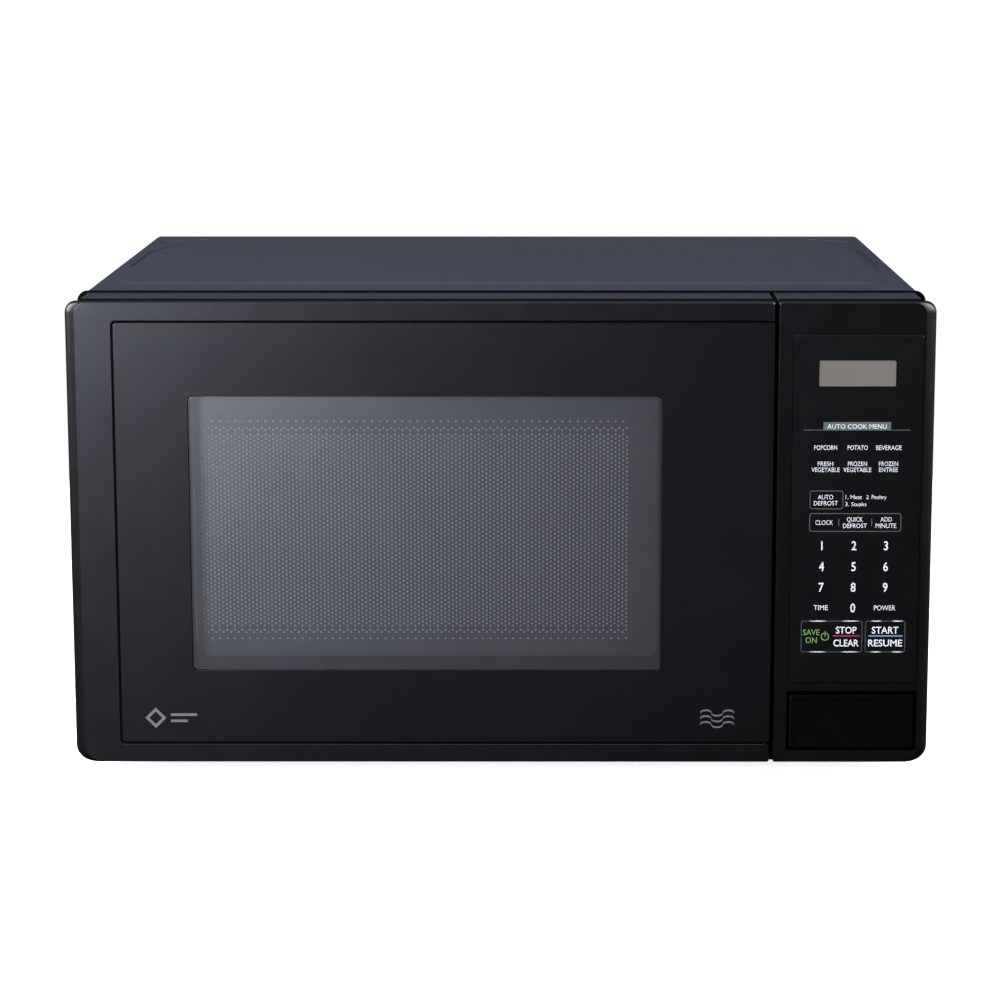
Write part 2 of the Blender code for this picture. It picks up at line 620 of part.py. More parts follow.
def hinges():
    """Fixed arms that reach forward from the front plate, each with its own pin."""
    for name, span, up in (("upper", HINGE_ARM_Z, True), ("lower", mirrored(HINGE_ARM_Z), False)):
        end = arc(HINGE_X, HINGE_Y, 0.0055, 0.0055, 180, 360, 8)
        behind = PLATE_FRONT + SHEET + GAP
        arm = end + [(HINGE_X + 0.0055, behind + SHEET), (HINGE_X - 0.0055, behind + SHEET)]
        plate = to_object(f"{name}_hinge_arm", prism_mesh([arm], "Z", *span), "steel")
        tab = (span[1] - 0.022, span[1]) if up else (span[0], span[0] + 0.022)
        tab_box = (HINGE_X - 0.0055, HINGE_X + 0.0055, behind, behind + SHEET, *tab)
        add(plate, boxes_mesh([tab_box]), "tab")
        at = (HINGE_X, HINGE_Y)
        cut(plate, rods_mesh([(at, "Z", PIN_R + GAP, 0.0, 0.3)]), "pin_hole")
        rest = span[1] + GAP if up else span[0] - GAP
        head = (rest, rest + 0.0020) if up else (rest - 0.0020, rest)
        far = span[0] - 0.0110 if up else span[1] + 0.0110
        pin = to_object(f"{name}_hinge_pin", rods_mesh([(at, "Z", 0.0040, *head)]), "steel")
        shank = (far, head[0] + TINY) if up else (head[1] - TINY, far)
        add(pin, rods_mesh([(at, "Z", PIN_R, *shank)], 16), "shank")


def door_glass():
    area = (GLASS_LEFT + GROOVE, DOOR_RIGHT, GLASS_BOTTOM + GROOVE, GLASS_TOP - GROOVE)
    sheet = prism_mesh([rounded(*area, 0.0018, 0, 0, 0.0018, 3)], "Y", FRONT, FRONT + GLASS_THICK)
    plate = to_object("door_front_plate", sheet, "glass_black")
    hole = rounded(*WINDOW, 0.0026, 0.0026, 0.0026, 0.0026, 3)
    cut(plate, prism_mesh([hole], "Y", FRONT - TINY, FRONT + GLASS_THICK + TINY), "window_hole")
    pane = rounded(*grow(WINDOW, -GAP), 0.0024, 0.0024, 0.0024, 0.0024, 3)
    to_object("door_window", prism_mesh([pane], "Y", FRONT + 0.0002, FRONT + 0.0025), "window_smoke")


def door_screen():
    """The steel screen panel: a flat sheet with a wall round the sight opening and one round its edge."""
    block = prism_mesh([plain_rect(SCREEN_EDGE)], "Y", SCREEN_Y, CHOKE_BACK)
    obj = to_object("door_screen", block, "steel")
    ring = grow(SIGHT, 0.004)
    back = CHOKE_BACK + TINY
    channel = prism_mesh([plain_rect(grow(SCREEN_EDGE, -SHEET))], "Y", SCREEN_Y + SHEET, back)
    wall = to_object("door_screen.wall", prism_mesh([plain_rect(ring)], "Y", SCREEN_Y, back + TINY))
    wall.hide_render = True
    wall.display_type = "WIRE"
    cut(obj, channel, "channel")
    helper = obj.modifiers["channel"].object
    keep = helper.modifiers.new("keep_wall", "BOOLEAN")
    keep.operation = "DIFFERENCE"
    keep.solver = "EXACT"
    keep.object = wall
    cut(obj, prism_mesh([plain_rect(grow(ring, -SHEET))], "Y", SCREEN_Y + SHEET, back), "recess")
    film = plain_rect(grow(ring, -SHEET - GAP))
    film_front = SCREEN_Y + SHEET + GAP
    film_back = film_front + GAP + FILM_THICK
    to_object("inner_film", prism_mesh([film], "Y", film_front, film_back), "clear")
    outline = rounded(*COVER_EDGE, 0.003, 0.003, 0.003, 0.003, 3)
    sheet = prism_mesh([outline], "Y", CHOKE_BACK + GAP, COVER_BACK)
    cover = to_object("choke_cover", sheet, "plastic_dark")
    cut(cover, prism_mesh([plain_rect(grow(ring, -SHEET))], "Y", CHOKE_BACK, -0.12), "sight_opening")
    x0, x1 = HOOK_X[0] - 0.0012, HOOK_X[1] + 0.0012
    slots = [(x0, x1, CHOKE_BACK, -0.12, z - 0.009, z + 0.010) for z in HOOK_Z]
    return cut(cover, boxes_mesh(slots), "hook_slots")


def latch():
    x0, x1 = HOOK_X
    bar = (x0, x1, -0.1440, -0.1330, HOOK_Z[1] - 0.012, HOOK_Z[0] + 0.012)
    obj = box_piece("latch_bar", "plastic_white", bar)
    for i, z in enumerate(HOOK_Z):
        add(obj, boxes_mesh([(x0, x1, -0.1340, -0.1080, z - 0.0040, z + 0.0040)]), f"arm{i}")
        add(obj, boxes_mesh([(x0, x1, -0.1130, -0.1080, z - 0.0070, z)]), f"nose{i}")
    middle = (HOOK_X[0] + HOOK_X[1]) / 2
    coil("latch_spring", "Z", (middle, -0.1385), HOOK_Z[0] + 0.0126, HOOK_Z[0] + 0.0410, 0.0022, 0.0004, 8)


def coil(name, axis, centre, low, high, radius, wire, turns):
    """A wire spring between two places on an axis."""
    curve = bpy.data.curves.new(name, "CURVE")
    curve.dimensions = "3D"
    curve.bevel_depth = wire
    curve.bevel_resolution = 0
    curve.use_fill_caps = True
    spline = curve.splines.new("POLY")
    steps = 10
    total = turns * steps
    spline.points.add(total)
    for i, point in enumerate(spline.points):
        turn = 2 * math.pi * i / steps
        place = [centre[0] + radius * math.cos(turn), centre[1] + radius * math.sin(turn)]
        place.insert(AXES[axis], low + wire + (high - low - 2 * wire) * i / total)
        point.co = (*place, 1)
    obj = bpy.data.objects.new(name, curve)
    bpy.context.scene.collection.objects.link(obj)
    curve.materials.append(material("steel"))
    return obj


def latch_board():
    obj = box_piece(
        "latch_board",
        "plastic_white",
        (0.1385, 0.1405, -0.1242, -0.0700, 0.0450, 0.2150),
        (0.1385, 0.1470, -0.1242, -0.1222, 0.0850, 0.2150),
    )
    pin = ((LEVER_Y, LEVER_Z), "X", 0.0025, 0.1400, 0.1665)
    add(obj, rods_mesh([pin], 12), "lever_pin")
    for name, z in (("secondary", HOOK_Z[0]), ("primary", HOOK_Z[1]), ("monitor", HOOK_Z[1] + 0.0215)):
        x0, x1 = 0.1235, 0.1335
        switch = box_piece(
            f"{name}_switch",
            "plastic_dark",
            (x0, x1, -0.1020, -0.0740, z - 0.008, z + 0.008),
            (x1 - 0.0005, 0.1382, -0.0960, -0.0920, z - 0.002, z + 0.002),
            (x0 + 0.003, x1 - 0.003, -0.0745, -0.0690, z - 0.006, z - 0.005),
            (x0 + 0.003, x1 - 0.003, -0.0745, -0.0690, z + 0.005, z + 0.006),
        )
        hole = (0.1260, 0.1310, -0.1030, -0.0985, z - 0.0018, z + 0.0018)
        cut(switch, boxes_mesh([hole]), "plunger_hole")
        plunger = (0.1265, 0.1305, -0.1055, -0.1000, z - 0.0015, z + 0.0015)
        box_piece(f"{name}_plunger", "plastic_white", plunger)


def release_lever():
    """A rocking lever: the button's stem pushes its lower arm back and its upper arm comes forward."""
    x0, x1 = 0.1550, 0.1640
    hub = rods_mesh([((LEVER_Y, LEVER_Z), "X", 0.0060, x0, x1)])
    obj = to_object("release_lever", hub, "plastic_white", (0.1600, LEVER_Y, LEVER_Z))
    add(obj, boxes_mesh([(x0, x1, -0.1095, -0.1045, 0.0290, LEVER_Z)]), "lower_arm")
    add(obj, boxes_mesh([(x0, x1, -0.1180, -0.1080, 0.0290, 0.0350)]), "push_pad")
    add(obj, boxes_mesh([(x0, x1, -0.1080, -0.1040, LEVER_Z, 0.0860)]), "upper_arm")
    return cut(obj, rods_mesh([((LEVER_Y, LEVER_Z), "X", 0.0029, 0.15, 0.17)], 12), "bore")


def control_panel():
    outline = front_outline(PANEL_LEFT, HALF, (0.0012, 0.0012), (BOTTOM_CORNER, TOP_CORNER))
    back = PLATE_FRONT - GAP
    obj = to_object("control_panel_frame", prism_mesh([outline], "Y", FRONT, back), "panel_black")
    plan = rounded(PANEL_LEFT, HALF, FRONT, back, 0.0008, (SIDE_BAND, 0.0030), 0.0020, 0)
    shape(obj, "INTERSECT", prism_mesh([plan], "Z", 0.0, 0.3), "plan")
    wall = 0.0022
    hollow = (PANEL_LEFT + wall, HALF - wall, FRONT + wall, back + TINY, FRONT_BOTTOM + wall, HEIGHT - wall)
    cut(obj, boxes_mesh([hollow]), "hollow")
    ahead = FRONT - TINY
    seat = rounded(*grow(INSET, GAP), 0.0012, 0.0012, 0.0012, 0.0012, 2)
    cut(obj, prism_mesh([seat], "Y", ahead, FRONT + 0.0008), "keypad_seat")
    holes = [(DISPLAY[0], DISPLAY[1], ahead, FRONT + 0.004, DISPLAY[2], DISPLAY[3])]
    holes.append((BUTTON[0], BUTTON[1], ahead, FRONT + 0.004, BUTTON[2], BUTTON[3]))
    cut(obj, boxes_mesh(holes), "openings")
    film = prism_mesh([rounded(*INSET, 0.001, 0.001, 0.001, 0.001, 2)], "Y", FRONT, FRONT + 0.0005)
    keys = to_object("keypad_membrane", film, "panel_black")
    cut(keys, prism_mesh([plain_rect(DISPLAY)], "Y", ahead, FRONT + 0.004), "display_opening")
    pane = grow(DISPLAY, -GAP)
    box_piece("display_window", "display_grey", (*pane[:2], FRONT + 0.0002, FRONT + 0.0020, *pane[2:]))


def open_button():
    x0, x1, z0, z1 = BUTTON
    area = (x0 + 0.0015, x1 - 0.0014, z0 + 0.0011, z1 - 0.0024)
    cap = prism_mesh([rounded(*area, 0.0012, 0.0012, 0.0012, 0.0012, 2)], "Y", FRONT + 0.0004, FRONT + 0.0080)
    obj = to_object("door_open_button", cap, "panel_black")
    add(obj, boxes_mesh([(STEM[0], STEM[1], FRONT + 0.0070, -0.1190, STEM[2], STEM[3])]), "stem")
    coil("button_spring", "Y", (0.1950, 0.0320), FRONT + 0.0084, PLATE_FRONT - GAP, 0.0045, 0.0005, 7)


def main():
    clear_scene()
    for build in (
        outer_cabinet,
        base_plate,
        feet,
        rear_panel,
        rear_screws,
        cord_gland,
        front_plate,
        cavity,
        waveguide,
        waveguide_cover,
        magnetron,
        transformer,
        capacitor_and_diode,
        fan,
        boards,
        lamp,
        turntable,
        door_frame,
        hinges,
        door_glass,
        door_screen,
        latch,
        latch_board,
        release_lever,
        control_panel,
        open_button,
    ):
        build()


main()
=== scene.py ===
import math

import bmesh
import bpy
from mathutils import Matrix, Vector


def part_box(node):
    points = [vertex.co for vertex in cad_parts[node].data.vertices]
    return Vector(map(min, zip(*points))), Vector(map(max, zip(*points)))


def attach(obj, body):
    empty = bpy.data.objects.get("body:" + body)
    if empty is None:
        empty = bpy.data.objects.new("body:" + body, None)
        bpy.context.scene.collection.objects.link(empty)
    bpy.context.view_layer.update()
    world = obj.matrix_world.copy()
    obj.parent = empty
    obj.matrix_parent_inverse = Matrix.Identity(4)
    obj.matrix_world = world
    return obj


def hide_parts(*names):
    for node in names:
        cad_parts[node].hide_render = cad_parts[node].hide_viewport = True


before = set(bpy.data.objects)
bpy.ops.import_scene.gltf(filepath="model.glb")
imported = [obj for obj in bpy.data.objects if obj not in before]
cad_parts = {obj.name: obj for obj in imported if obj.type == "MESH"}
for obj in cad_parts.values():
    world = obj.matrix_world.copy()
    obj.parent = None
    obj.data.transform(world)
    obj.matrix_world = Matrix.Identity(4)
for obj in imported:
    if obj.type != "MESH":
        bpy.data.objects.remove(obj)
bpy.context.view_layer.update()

MM = 0.001
OVEN, DOOR = "oven", "door"

# Places read from the frame
door_low, door_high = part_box("door_frame")
panel_low, panel_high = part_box("control_panel_frame")
facia_low, facia_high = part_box("door_front_plate")
pane_low, pane_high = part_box("door_window")
screen_low, screen_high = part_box("door_screen")
cabinet_low, cabinet_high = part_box("outer_cabinet")
keypad_low, keypad_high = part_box("keypad_membrane")
display_low, display_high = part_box("display_window")
button_low, button_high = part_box("door_open_button")
liner_low, liner_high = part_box("cavity")
tray_low, tray_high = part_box("glass_tray")

FRONT = door_low.y
TOP = door_high.z
BOTTOM = door_low.z
TURN_X = (tray_low.x + tray_high.x) / 2
TURN_Y = (tray_low.y + tray_high.y) / 2


# ---- outlines and meshes


def show(obj):
    """Puts an object in the scene."""
    bpy.context.scene.collection.objects.link(obj)


def arc(cx, cz, rx, rz, start, end, steps):
    points = []
    for i in range(steps + 1):
        turn = math.radians(start + (end - start) * i / steps)
        points.append((cx + rx * math.cos(turn), cz + rz * math.sin(turn)))
    return points


def rounded(x0, x1, z0, z1, bl, br, tr, tl, steps=6):
    """A rectangle's outline with a radius, or a pair of radii, at each corner."""
    corners = (
        (x0, z0, bl, 180, 1, 1), (x1, z0, br, 270, -1, 1), (x1, z1, tr, 0, -1, -1), (x0, z1, tl, 90, 1, -1),
    )
    outline = []
    for x, z, radius, start, dx, dz in corners:
        rx, rz = radius if isinstance(radius, tuple) else (radius, radius)
        outline += arc(x + dx * rx, z + dz * rz, rx, rz, start, start + 90, steps)
    return outline


def even(x0, x1, z0, z1, radius, steps=6):
    return rounded(x0, x1, z0, z1, radius, radius, radius, radius, steps)


def drawn_in(low, high, draw, radius):
    """The outline, seen from the front, of a part between two corners, drawn in on all sides."""
    return even(low.x + draw, high.x - draw, low.z + draw, high.z - draw, radius)


def grown(area, radius, grow=0.0):
    """The outline of an area (x0, x1, z0, z1), grown on all sides."""
    x0, x1, z0, z1 = area
    return even(x0 - grow, x1 + grow, z0 - grow, z1 + grow, radius)


def ring(bm, outline, y):
    """A closed loop of edges in the plane of the front, at depth y."""
    verts = [bm.verts.new((x, y, z)) for x, z in outline]
    return [bm.edges.new(pair) for pair in zip(verts, verts[1:] + verts[:1])]


def loft(rings, close="caps"):
    """Joins outlines with equal point counts, one after the other. close is caps, or round for a frame."""
    bm = bmesh.new()
    loops = [ring(bm, outline, y) for outline, y in rings]
    pairs = list(zip(loops, loops[1:]))
    if close == "round":
        pairs.append((loops[-1], loops[0]))
    for a, b in pairs:
        for near, far in zip(a, b):
            bm.faces.new((near.verts[0], near.verts[1], far.verts[1], far.verts[0]))
    if close == "caps":
        for loop in (loops[0], loops[-1]):
            bm.faces.new([edge.verts[0] for edge in loop])
    bmesh.ops.recalc_face_normals(bm, faces=bm.faces)
    return bm


def cuboid(x0, x1, y0, y1, z0, z1, bm=None):
    bm = bm or bmesh.new()
    made = bmesh.ops.create_cube(bm, size=1)["verts"]
    bmesh.ops.scale(bm, vec=(x1 - x0, y1 - y0, z1 - z0), verts=made)
    bmesh.ops.translate(bm, vec=((x0 + x1) / 2, (y0 + y1) / 2, (z0 + z1) / 2), verts=made)
    return bm


def cuboids(boxes):
    bm = bmesh.new()
    for box in boxes:
        cuboid(*box, bm=bm)
    return bm


TURNS = {
    "X": Matrix.Rotation(math.pi / 2, 3, "Y"),
    "Y": Matrix.Rotation(-math.pi / 2, 3, "X"),
    "Z": Matrix.Identity(3),
}


def rod(centre, axis, radius, length, segments=32, bm=None):
    """A round rod about centre, along an axis."""
    bm = bm or bmesh.new()
    made = bmesh.ops.create_cone(
        bm, cap_ends=True, segments=segments, radius1=radius, radius2=radius, depth=length
    )["verts"]
    bmesh.ops.rotate(bm, cent=(0, 0, 0), matrix=TURNS[axis], verts=made)
    bmesh.ops.translate(bm, vec=centre, verts=made)
    return bm


def turned(profile, centre, segments):
    """Spins a profile of (radius, height) points about the vertical axis through centre."""
    bm = bmesh.new()
    verts = [bm.verts.new((r, 0, z)) for r, z in profile]
    edges = [bm.edges.new(pair) for pair in zip(verts, verts[1:])]
    bmesh.ops.spin(
        bm, geom=verts + edges, cent=(0, 0, 0), axis=(0, 0, 1), angle=2 * math.pi,
        steps=segments, use_merge=True,
    )
    bmesh.ops.remove_doubles(bm, verts=bm.verts, dist=1e-7)
    bmesh.ops.recalc_face_normals(bm, faces=bm.faces)
    bmesh.ops.translate(bm, vec=centre, verts=bm.verts)
    return bm


def soften(bm, width, angle=30, segments=2):
    """Rounds every edge that turns by more than the angle."""
    limit = math.radians(angle)
    sharp = [e for e in bm.edges if len(e.link_faces) == 2 and e.calc_face_angle(0) > limit]
    bmesh.ops.bevel(
        bm, geom=sharp, offset=width, offset_type="OFFSET", segments=segments, profile=0.5,
        affect="EDGES", clamp_overlap=True, material=-1,
    )
    return bm


def cad_copy(node):
    """A merged copy of a CAD node's mesh, with its flat faces made whole."""
    bm = bmesh.new()
    bm.from_mesh(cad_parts[node].data)
    bmesh.ops.remove_doubles(bm, verts=bm.verts, dist=1e-6)
    bmesh.ops.dissolve_limit(
        bm, angle_limit=math.radians(1), verts=bm.verts, edges=bm.edges, delimit=set(),
        use_dissolve_boundaries=False,
    )
    return bm


def combine(bm, how, *others):
    """Cuts other meshes from this one, or joins them to it, and returns the result."""
    main = bpy.data.objects.new("work", bpy.data.meshes.new("work"))
    bm.to_mesh(main.data)
    bm.free()
    show(main)
    helpers = []
    for other in others:
        helper = bpy.data.objects.new("helper", bpy.data.meshes.new("helper"))
        bmesh.ops.recalc_face_normals(other, faces=other.faces)
        other.to_mesh(helper.data)
        other.free()
        show(helper)
        modifier = main.modifiers.new("join", "BOOLEAN")
        modifier.operation = how
        modifier.solver = "EXACT"
        modifier.object = helper
        helpers.append(helper)
    graph = bpy.context.evaluated_depsgraph_get()
    made = bmesh.new()
    made.from_mesh(main.evaluated_get(graph).to_mesh())
    for obj in [main] + helpers:
        bpy.data.objects.remove(obj, do_unlink=True)
    if not made.faces:
        raise ValueError("a cut or a join left nothing")
    return made


def cut(bm, *others):
    return combine(bm, "DIFFERENCE", *others)


def join(bm, *others):
    return combine(bm, "UNION", *others)


def piece(name, bm, look, body, *nodes, slot=None, smooth=35):
    """Turns a finished mesh into a piece that rides on a body and stands for CAD nodes."""
    mesh = bpy.data.meshes.new(name)
    bm.to_mesh(mesh)
    bm.free()
    mesh.materials.append(look)
    mesh.shade_smooth()
    mesh.set_sharp_from_angle(angle=math.radians(smooth))
    obj = bpy.data.objects.new(name, mesh)
    show(obj)
    weighted = obj.modifiers.new("even_shading", "WEIGHTED_NORMAL")
    weighted.keep_sharp = True
    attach(obj, body)
    if nodes:
        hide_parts(*nodes)
    return obj


# ---- finishes


class Finish:
    """A Principled material with helpers for grain, mottling and fine relief on object coordinates."""

    def __init__(self, name, colour, roughness, metallic=0.0, **sockets):
        self.material = bpy.data.materials.new(name)
        self.material.use_nodes = True
        self.nodes = self.material.node_tree.nodes
        self.links = self.material.node_tree.links
        self.shader = self.nodes["Principled BSDF"]
        self.colour = colour
        self.set("Base Color", (*colour, 1))
        self.set("Roughness", roughness)
        self.set("Metallic", metallic)
        for socket, value in sockets.items():
            self.set(socket.replace("_", " "), value)
        self.place = self.nodes.new("ShaderNodeTexCoord").outputs["Object"]

    def set(self, socket, value):
        self.shader.inputs[socket].default_value = value

    def noise(self, scale, detail=3.0, stretch=(1, 1, 1)):
        mapping = self.nodes.new("ShaderNodeMapping")
        mapping.inputs["Scale"].default_value = stretch
        noise = self.nodes.new("ShaderNodeTexNoise")
        noise.inputs["Scale"].default_value = scale
        noise.inputs["Detail"].default_value = detail
        self.links.new(self.place, mapping.inputs["Vector"])
        self.links.new(mapping.outputs["Vector"], noise.inputs["Vector"])
        return noise.outputs["Fac"]

    def spread(self, source, low, high, start=0.3, end=0.7):
        """Maps a pattern to a range of values."""
        node = self.nodes.new("ShaderNodeMapRange")
        for name, value in (("From Min", start), ("From Max", end), ("To Min", low), ("To Max", high)):
            node.inputs[name].default_value = value
        self.links.new(source, node.inputs["Value"])
        return node.outputs["Result"]

    def rough(self, low, high, scale):
        """Roughness that varies over the surface."""
        self.links.new(self.spread(self.noise(scale, 4.0), low, high), self.shader.inputs["Roughness"])
        return self

    def mottle(self, other, scale, start=0.35, end=0.65):
        """Colour that drifts between the base colour and another."""
        mix = self.nodes.new("ShaderNodeMix")
        mix.data_type = "RGBA"
        mix.inputs["A"].default_value = (*self.colour, 1)
        mix.inputs["B"].default_value = (*other, 1)
        self.links.new(self.spread(self.noise(scale), 0.0, 1.0, start, end), mix.inputs["Factor"])
        self.links.new(mix.outputs["Result"], self.shader.inputs["Base Color"])
        return self

    def painted_highlights(self, highlight_x, period):
        """Painted highlights: light and dark stripes across X, brightest at the given place and every period
        from it.
        """
        place = self.nodes.new("ShaderNodeSeparateXYZ")
        turn = self.nodes.new("ShaderNodeMath")
        turn.operation = "MULTIPLY_ADD"
        turn.inputs[1].default_value = 2 * math.pi / period
        turn.inputs[2].default_value = -2 * math.pi * highlight_x / period
        wave = self.nodes.new("ShaderNodeMath")
        wave.operation = "COSINE"
        mix = self.nodes.new("ShaderNodeMix")
        mix.data_type = "RGBA"
        mix.inputs["A"].default_value = (*self.colour, 1)
        mix.inputs["B"].default_value = (0.85, 0.85, 0.85, 1)
        self.links.new(self.place, place.inputs["Vector"])
        self.links.new(place.outputs["X"], turn.inputs[0])
        self.links.new(turn.outputs["Value"], wave.inputs[0])
        self.links.new(self.spread(wave.outputs["Value"], 0.0, 1.0, -0.2, 1.0), mix.inputs["Factor"])
        self.links.new(mix.outputs["Result"], self.shader.inputs["Base Color"])
        return self

    def relief(self, scale, height, detail=2.0, stretch=(1, 1, 1)):
        """Fine bumps, with their height in metres."""
        bump = self.nodes.new("ShaderNodeBump")
        bump.inputs["Distance"].default_value = height
        bump.inputs["Strength"].default_value = 1.0
        self.links.new(self.noise(scale, detail, stretch), bump.inputs["Height"])
        self.links.new(bump.outputs["Normal"], self.shader.inputs["Normal"])
        return self


PRINT_COLOURS = {
    "print_white": (0.80, 0.80, 0.82), "print_grey": (0.105, 0.105, 0.100),
    "print_slate": (0.088, 0.118, 0.110), "print_red": (0.29, 0.014, 0.055),
    "print_blue": (0.13, 0.25, 0.37), "print_green": (0.20, 0.37, 0.095),
}


def finishes():
    made = {
        "door_satin": Finish("door_satin_black", (0.0006, 0.0006, 0.0009), 0.35)
        .rough(0.335, 0.365, 60).mottle((0.0009, 0.0009, 0.0013), 9).relief(5200, 0.000003),
        "panel_satin": Finish("panel_satin_black", (0.0003, 0.0003, 0.0005), 0.35, Specular_IOR_Level=0.42)
        .rough(0.335, 0.365, 60).mottle((0.0007, 0.0007, 0.0010), 9).relief(5200, 0.000003),
        "facia": Finish("facia_black_gloss", (0.0006, 0.0006, 0.0009), 0.35)
        .rough(0.34, 0.36, 25).mottle((0.0008, 0.0008, 0.0012), 6),
        "keypad": Finish("keypad_film_black", (0.0006, 0.0006, 0.0009), 0.36, Specular_IOR_Level=0.43)
        .rough(0.345, 0.375, 80).relief(7000, 0.000002),
        "button": Finish("button_black", (0.0005, 0.0005, 0.0007), 0.35, Specular_IOR_Level=0.2)
        .rough(0.33, 0.37, 80).relief(5200, 0.000003),
        "pane": Finish(
            "window_smoke", (0.030, 0.031, 0.034), 0.35, IOR=2.0, Specular_IOR_Level=1.0, Alpha=0.30
        )
        .rough(0.34, 0.36, 30),
        "paint": Finish("cabinet_powder_coat", (0.022, 0.024, 0.037), 0.42)
        .rough(0.38, 0.46, 120).mottle((0.025, 0.027, 0.041), 7).relief(2600, 0.000006, 3.0),
        "enamel": Finish("cavity_enamel", (0.42, 0.42, 0.43), 0.38)
        .rough(0.33, 0.45, 200).mottle((0.37, 0.37, 0.38), 900, 0.52, 0.60).relief(1800, 0.000012),
        "front_enamel": Finish("front_plate_enamel", (0.030, 0.031, 0.035), 0.40)
        .rough(0.36, 0.45, 150).mottle((0.036, 0.037, 0.041), 40).relief(2200, 0.00001),
        "zinc": Finish("zinc_coated_steel", (0.52, 0.53, 0.55), 0.40, 1.0)
        .rough(0.30, 0.50, 35).mottle((0.44, 0.45, 0.47), 60),
        "screen_paint": Finish(
            "screen_grey_paint", (0.036, 0.039, 0.041), 0.36, IOR=1.9, Specular_IOR_Level=1.0
        )
        .rough(0.34, 0.38, 300).mottle((0.040, 0.043, 0.045), 40),
        # Painted shade: a much darker copy of the screen's grey paint, for the shade on the screen's
        # recessed ledge and outer wall
        "rim_painted_shade": Finish("screen_rim_painted_shade", (0.004, 0.004, 0.005), 0.36, IOR=1.5, Specular_IOR_Level=0.7)
        .rough(0.34, 0.38, 300).mottle((0.006, 0.006, 0.007), 40),
        "film": Finish("frosted_film", (0.80, 0.81, 0.85), 0.50).rough(0.45, 0.55, 200)
        .mottle((0.76, 0.77, 0.81), 50),
        "white_plastic": Finish("natural_white_plastic", (0.70, 0.69, 0.65), 0.42, Subsurface_Weight=0.05)
        .rough(0.38, 0.48, 120).mottle((0.66, 0.65, 0.60), 30).relief(3000, 0.000006),
        "black_plastic": Finish("black_moulded_plastic", (0.020, 0.020, 0.022), 0.45)
        .rough(0.40, 0.52, 150).mottle((0.026, 0.026, 0.028), 40).relief(3500, 0.000008),
        "glass": Finish("tray_glass", (0.93, 0.97, 0.96), 0.04, IOR=1.5, Transmission_Weight=1.0)
        .rough(0.03, 0.08, 60),
        "bulb_glass": Finish("bulb_glass", (1.0, 0.98, 0.94), 0.05, IOR=1.45, Transmission_Weight=0.9)
        .rough(0.04, 0.1, 80),
        "mica": Finish("mica_sheet", (0.42, 0.36, 0.26), 0.45).rough(0.35, 0.6, 90)
        .mottle((0.55, 0.49, 0.38), 150).relief(700, 0.00002),
        "board": Finish("circuit_board_green", (0.03, 0.14, 0.06), 0.38).rough(0.32, 0.45, 200)
        .mottle((0.05, 0.19, 0.09), 260, 0.48, 0.52),
        "copper": Finish("enamelled_copper", (0.56, 0.24, 0.10), 0.35, 0.9).rough(0.28, 0.45, 60)
        .relief(900, 0.00004, 1.0, (1, 0.02, 0.02)),
        "laminate": Finish("core_laminations", (0.20, 0.20, 0.21), 0.5, 0.8).rough(0.4, 0.6, 90)
        .relief(900, 0.00003, 0.0, (0.01, 1, 0.01)),
        # Painted sheen: a lighter, bluer coat for the flanges' top faces, standing in for the light from
        # above on them
        "top_painted_sheen": Finish("top_painted_sheen_coat", (0.017, 0.019, 0.030), 0.42, Specular_IOR_Level=0.38)
        .rough(0.38, 0.46, 120).mottle((0.019, 0.021, 0.033), 7),
        # Painted shade: a near-black, barely reflecting finish for the thin strips put in gaps and grooves,
        # standing in for their shadow lines
        "painted_shade": Finish("painted_shade_black", (0.0008, 0.0008, 0.0010), 0.6, Specular_IOR_Level=0.04)
        .rough(0.55, 0.65, 200),
        "rubber": Finish("foot_rubber", (0.018, 0.018, 0.019), 0.75).rough(0.68, 0.85, 150)
        .mottle((0.026, 0.026, 0.027), 60).relief(2500, 0.00002),
        "display": Finish("display_grey", (0.160, 0.146, 0.126), 0.50, Specular_IOR_Level=0.2)
        .rough(0.47, 0.53, 50).mottle((0.153, 0.140, 0.120), 30),
        "mark_silver": Finish("facia_mark_silver", (0.20, 0.20, 0.21), 0.35, 0.3).rough(0.3, 0.4, 300),
    }
    for name, colour in PRINT_COLOURS.items():
        made[name] = Finish(name, colour, 0.5).rough(0.45, 0.55, 400)
    return {name: finish.material for name, finish in made.items()}


LOOK = finishes()


# ---- door

LIP = 5.6 * MM
STEP = 3.0 * MM
CORNERS = {"bottom": 8.5 * MM, "top": 6.0 * MM}
SEAT = (facia_low.x - 1.3 * MM, facia_high.x, facia_low.z - 1.3 * MM, facia_high.z + 1.3 * MM)
SEAT_DEPTH = facia_high.y + 0.3 * MM
SIGHT = (-0.1680, 0.0900, 0.0560, 0.2130)
POCKET = (-0.2060, 0.1400, 0.0160, 0.2520)
POCKET_Y = -0.1550
HINGE_X, HINGE_Y = -0.2175, -0.1385

# How far the outer side has drawn in, and how far back, from the side to the flat front, in millimetres
BAND_CURVE = ((0.15, 4.2), (0.7, 3.0), (1.8, 1.9), (3.4, 1.0), (5.0, 0.35), (5.5, 0.12), (5.8, 0.0))
BAND_EDGE = 0.7
FLANGE_DROP = 0.4 * MM


def front_outline(x0, x1, side_in, edge_in, outer_left, drop=0.0):
    """A front piece's outline: its outer side drawn in by side_in, its other edges by edge_in."""
    left, right = (side_in, edge_in) if outer_left else (edge_in, side_in)
    small = 1.2 * MM
    top, bottom = CORNERS["top"], CORNERS["bottom"]
    radii = (bottom, small, small, top) if outer_left else (small, bottom, top, small)
    return rounded(x0 + left, x1 - right, BOTTOM + edge_in, TOP - edge_in - drop, *radii)


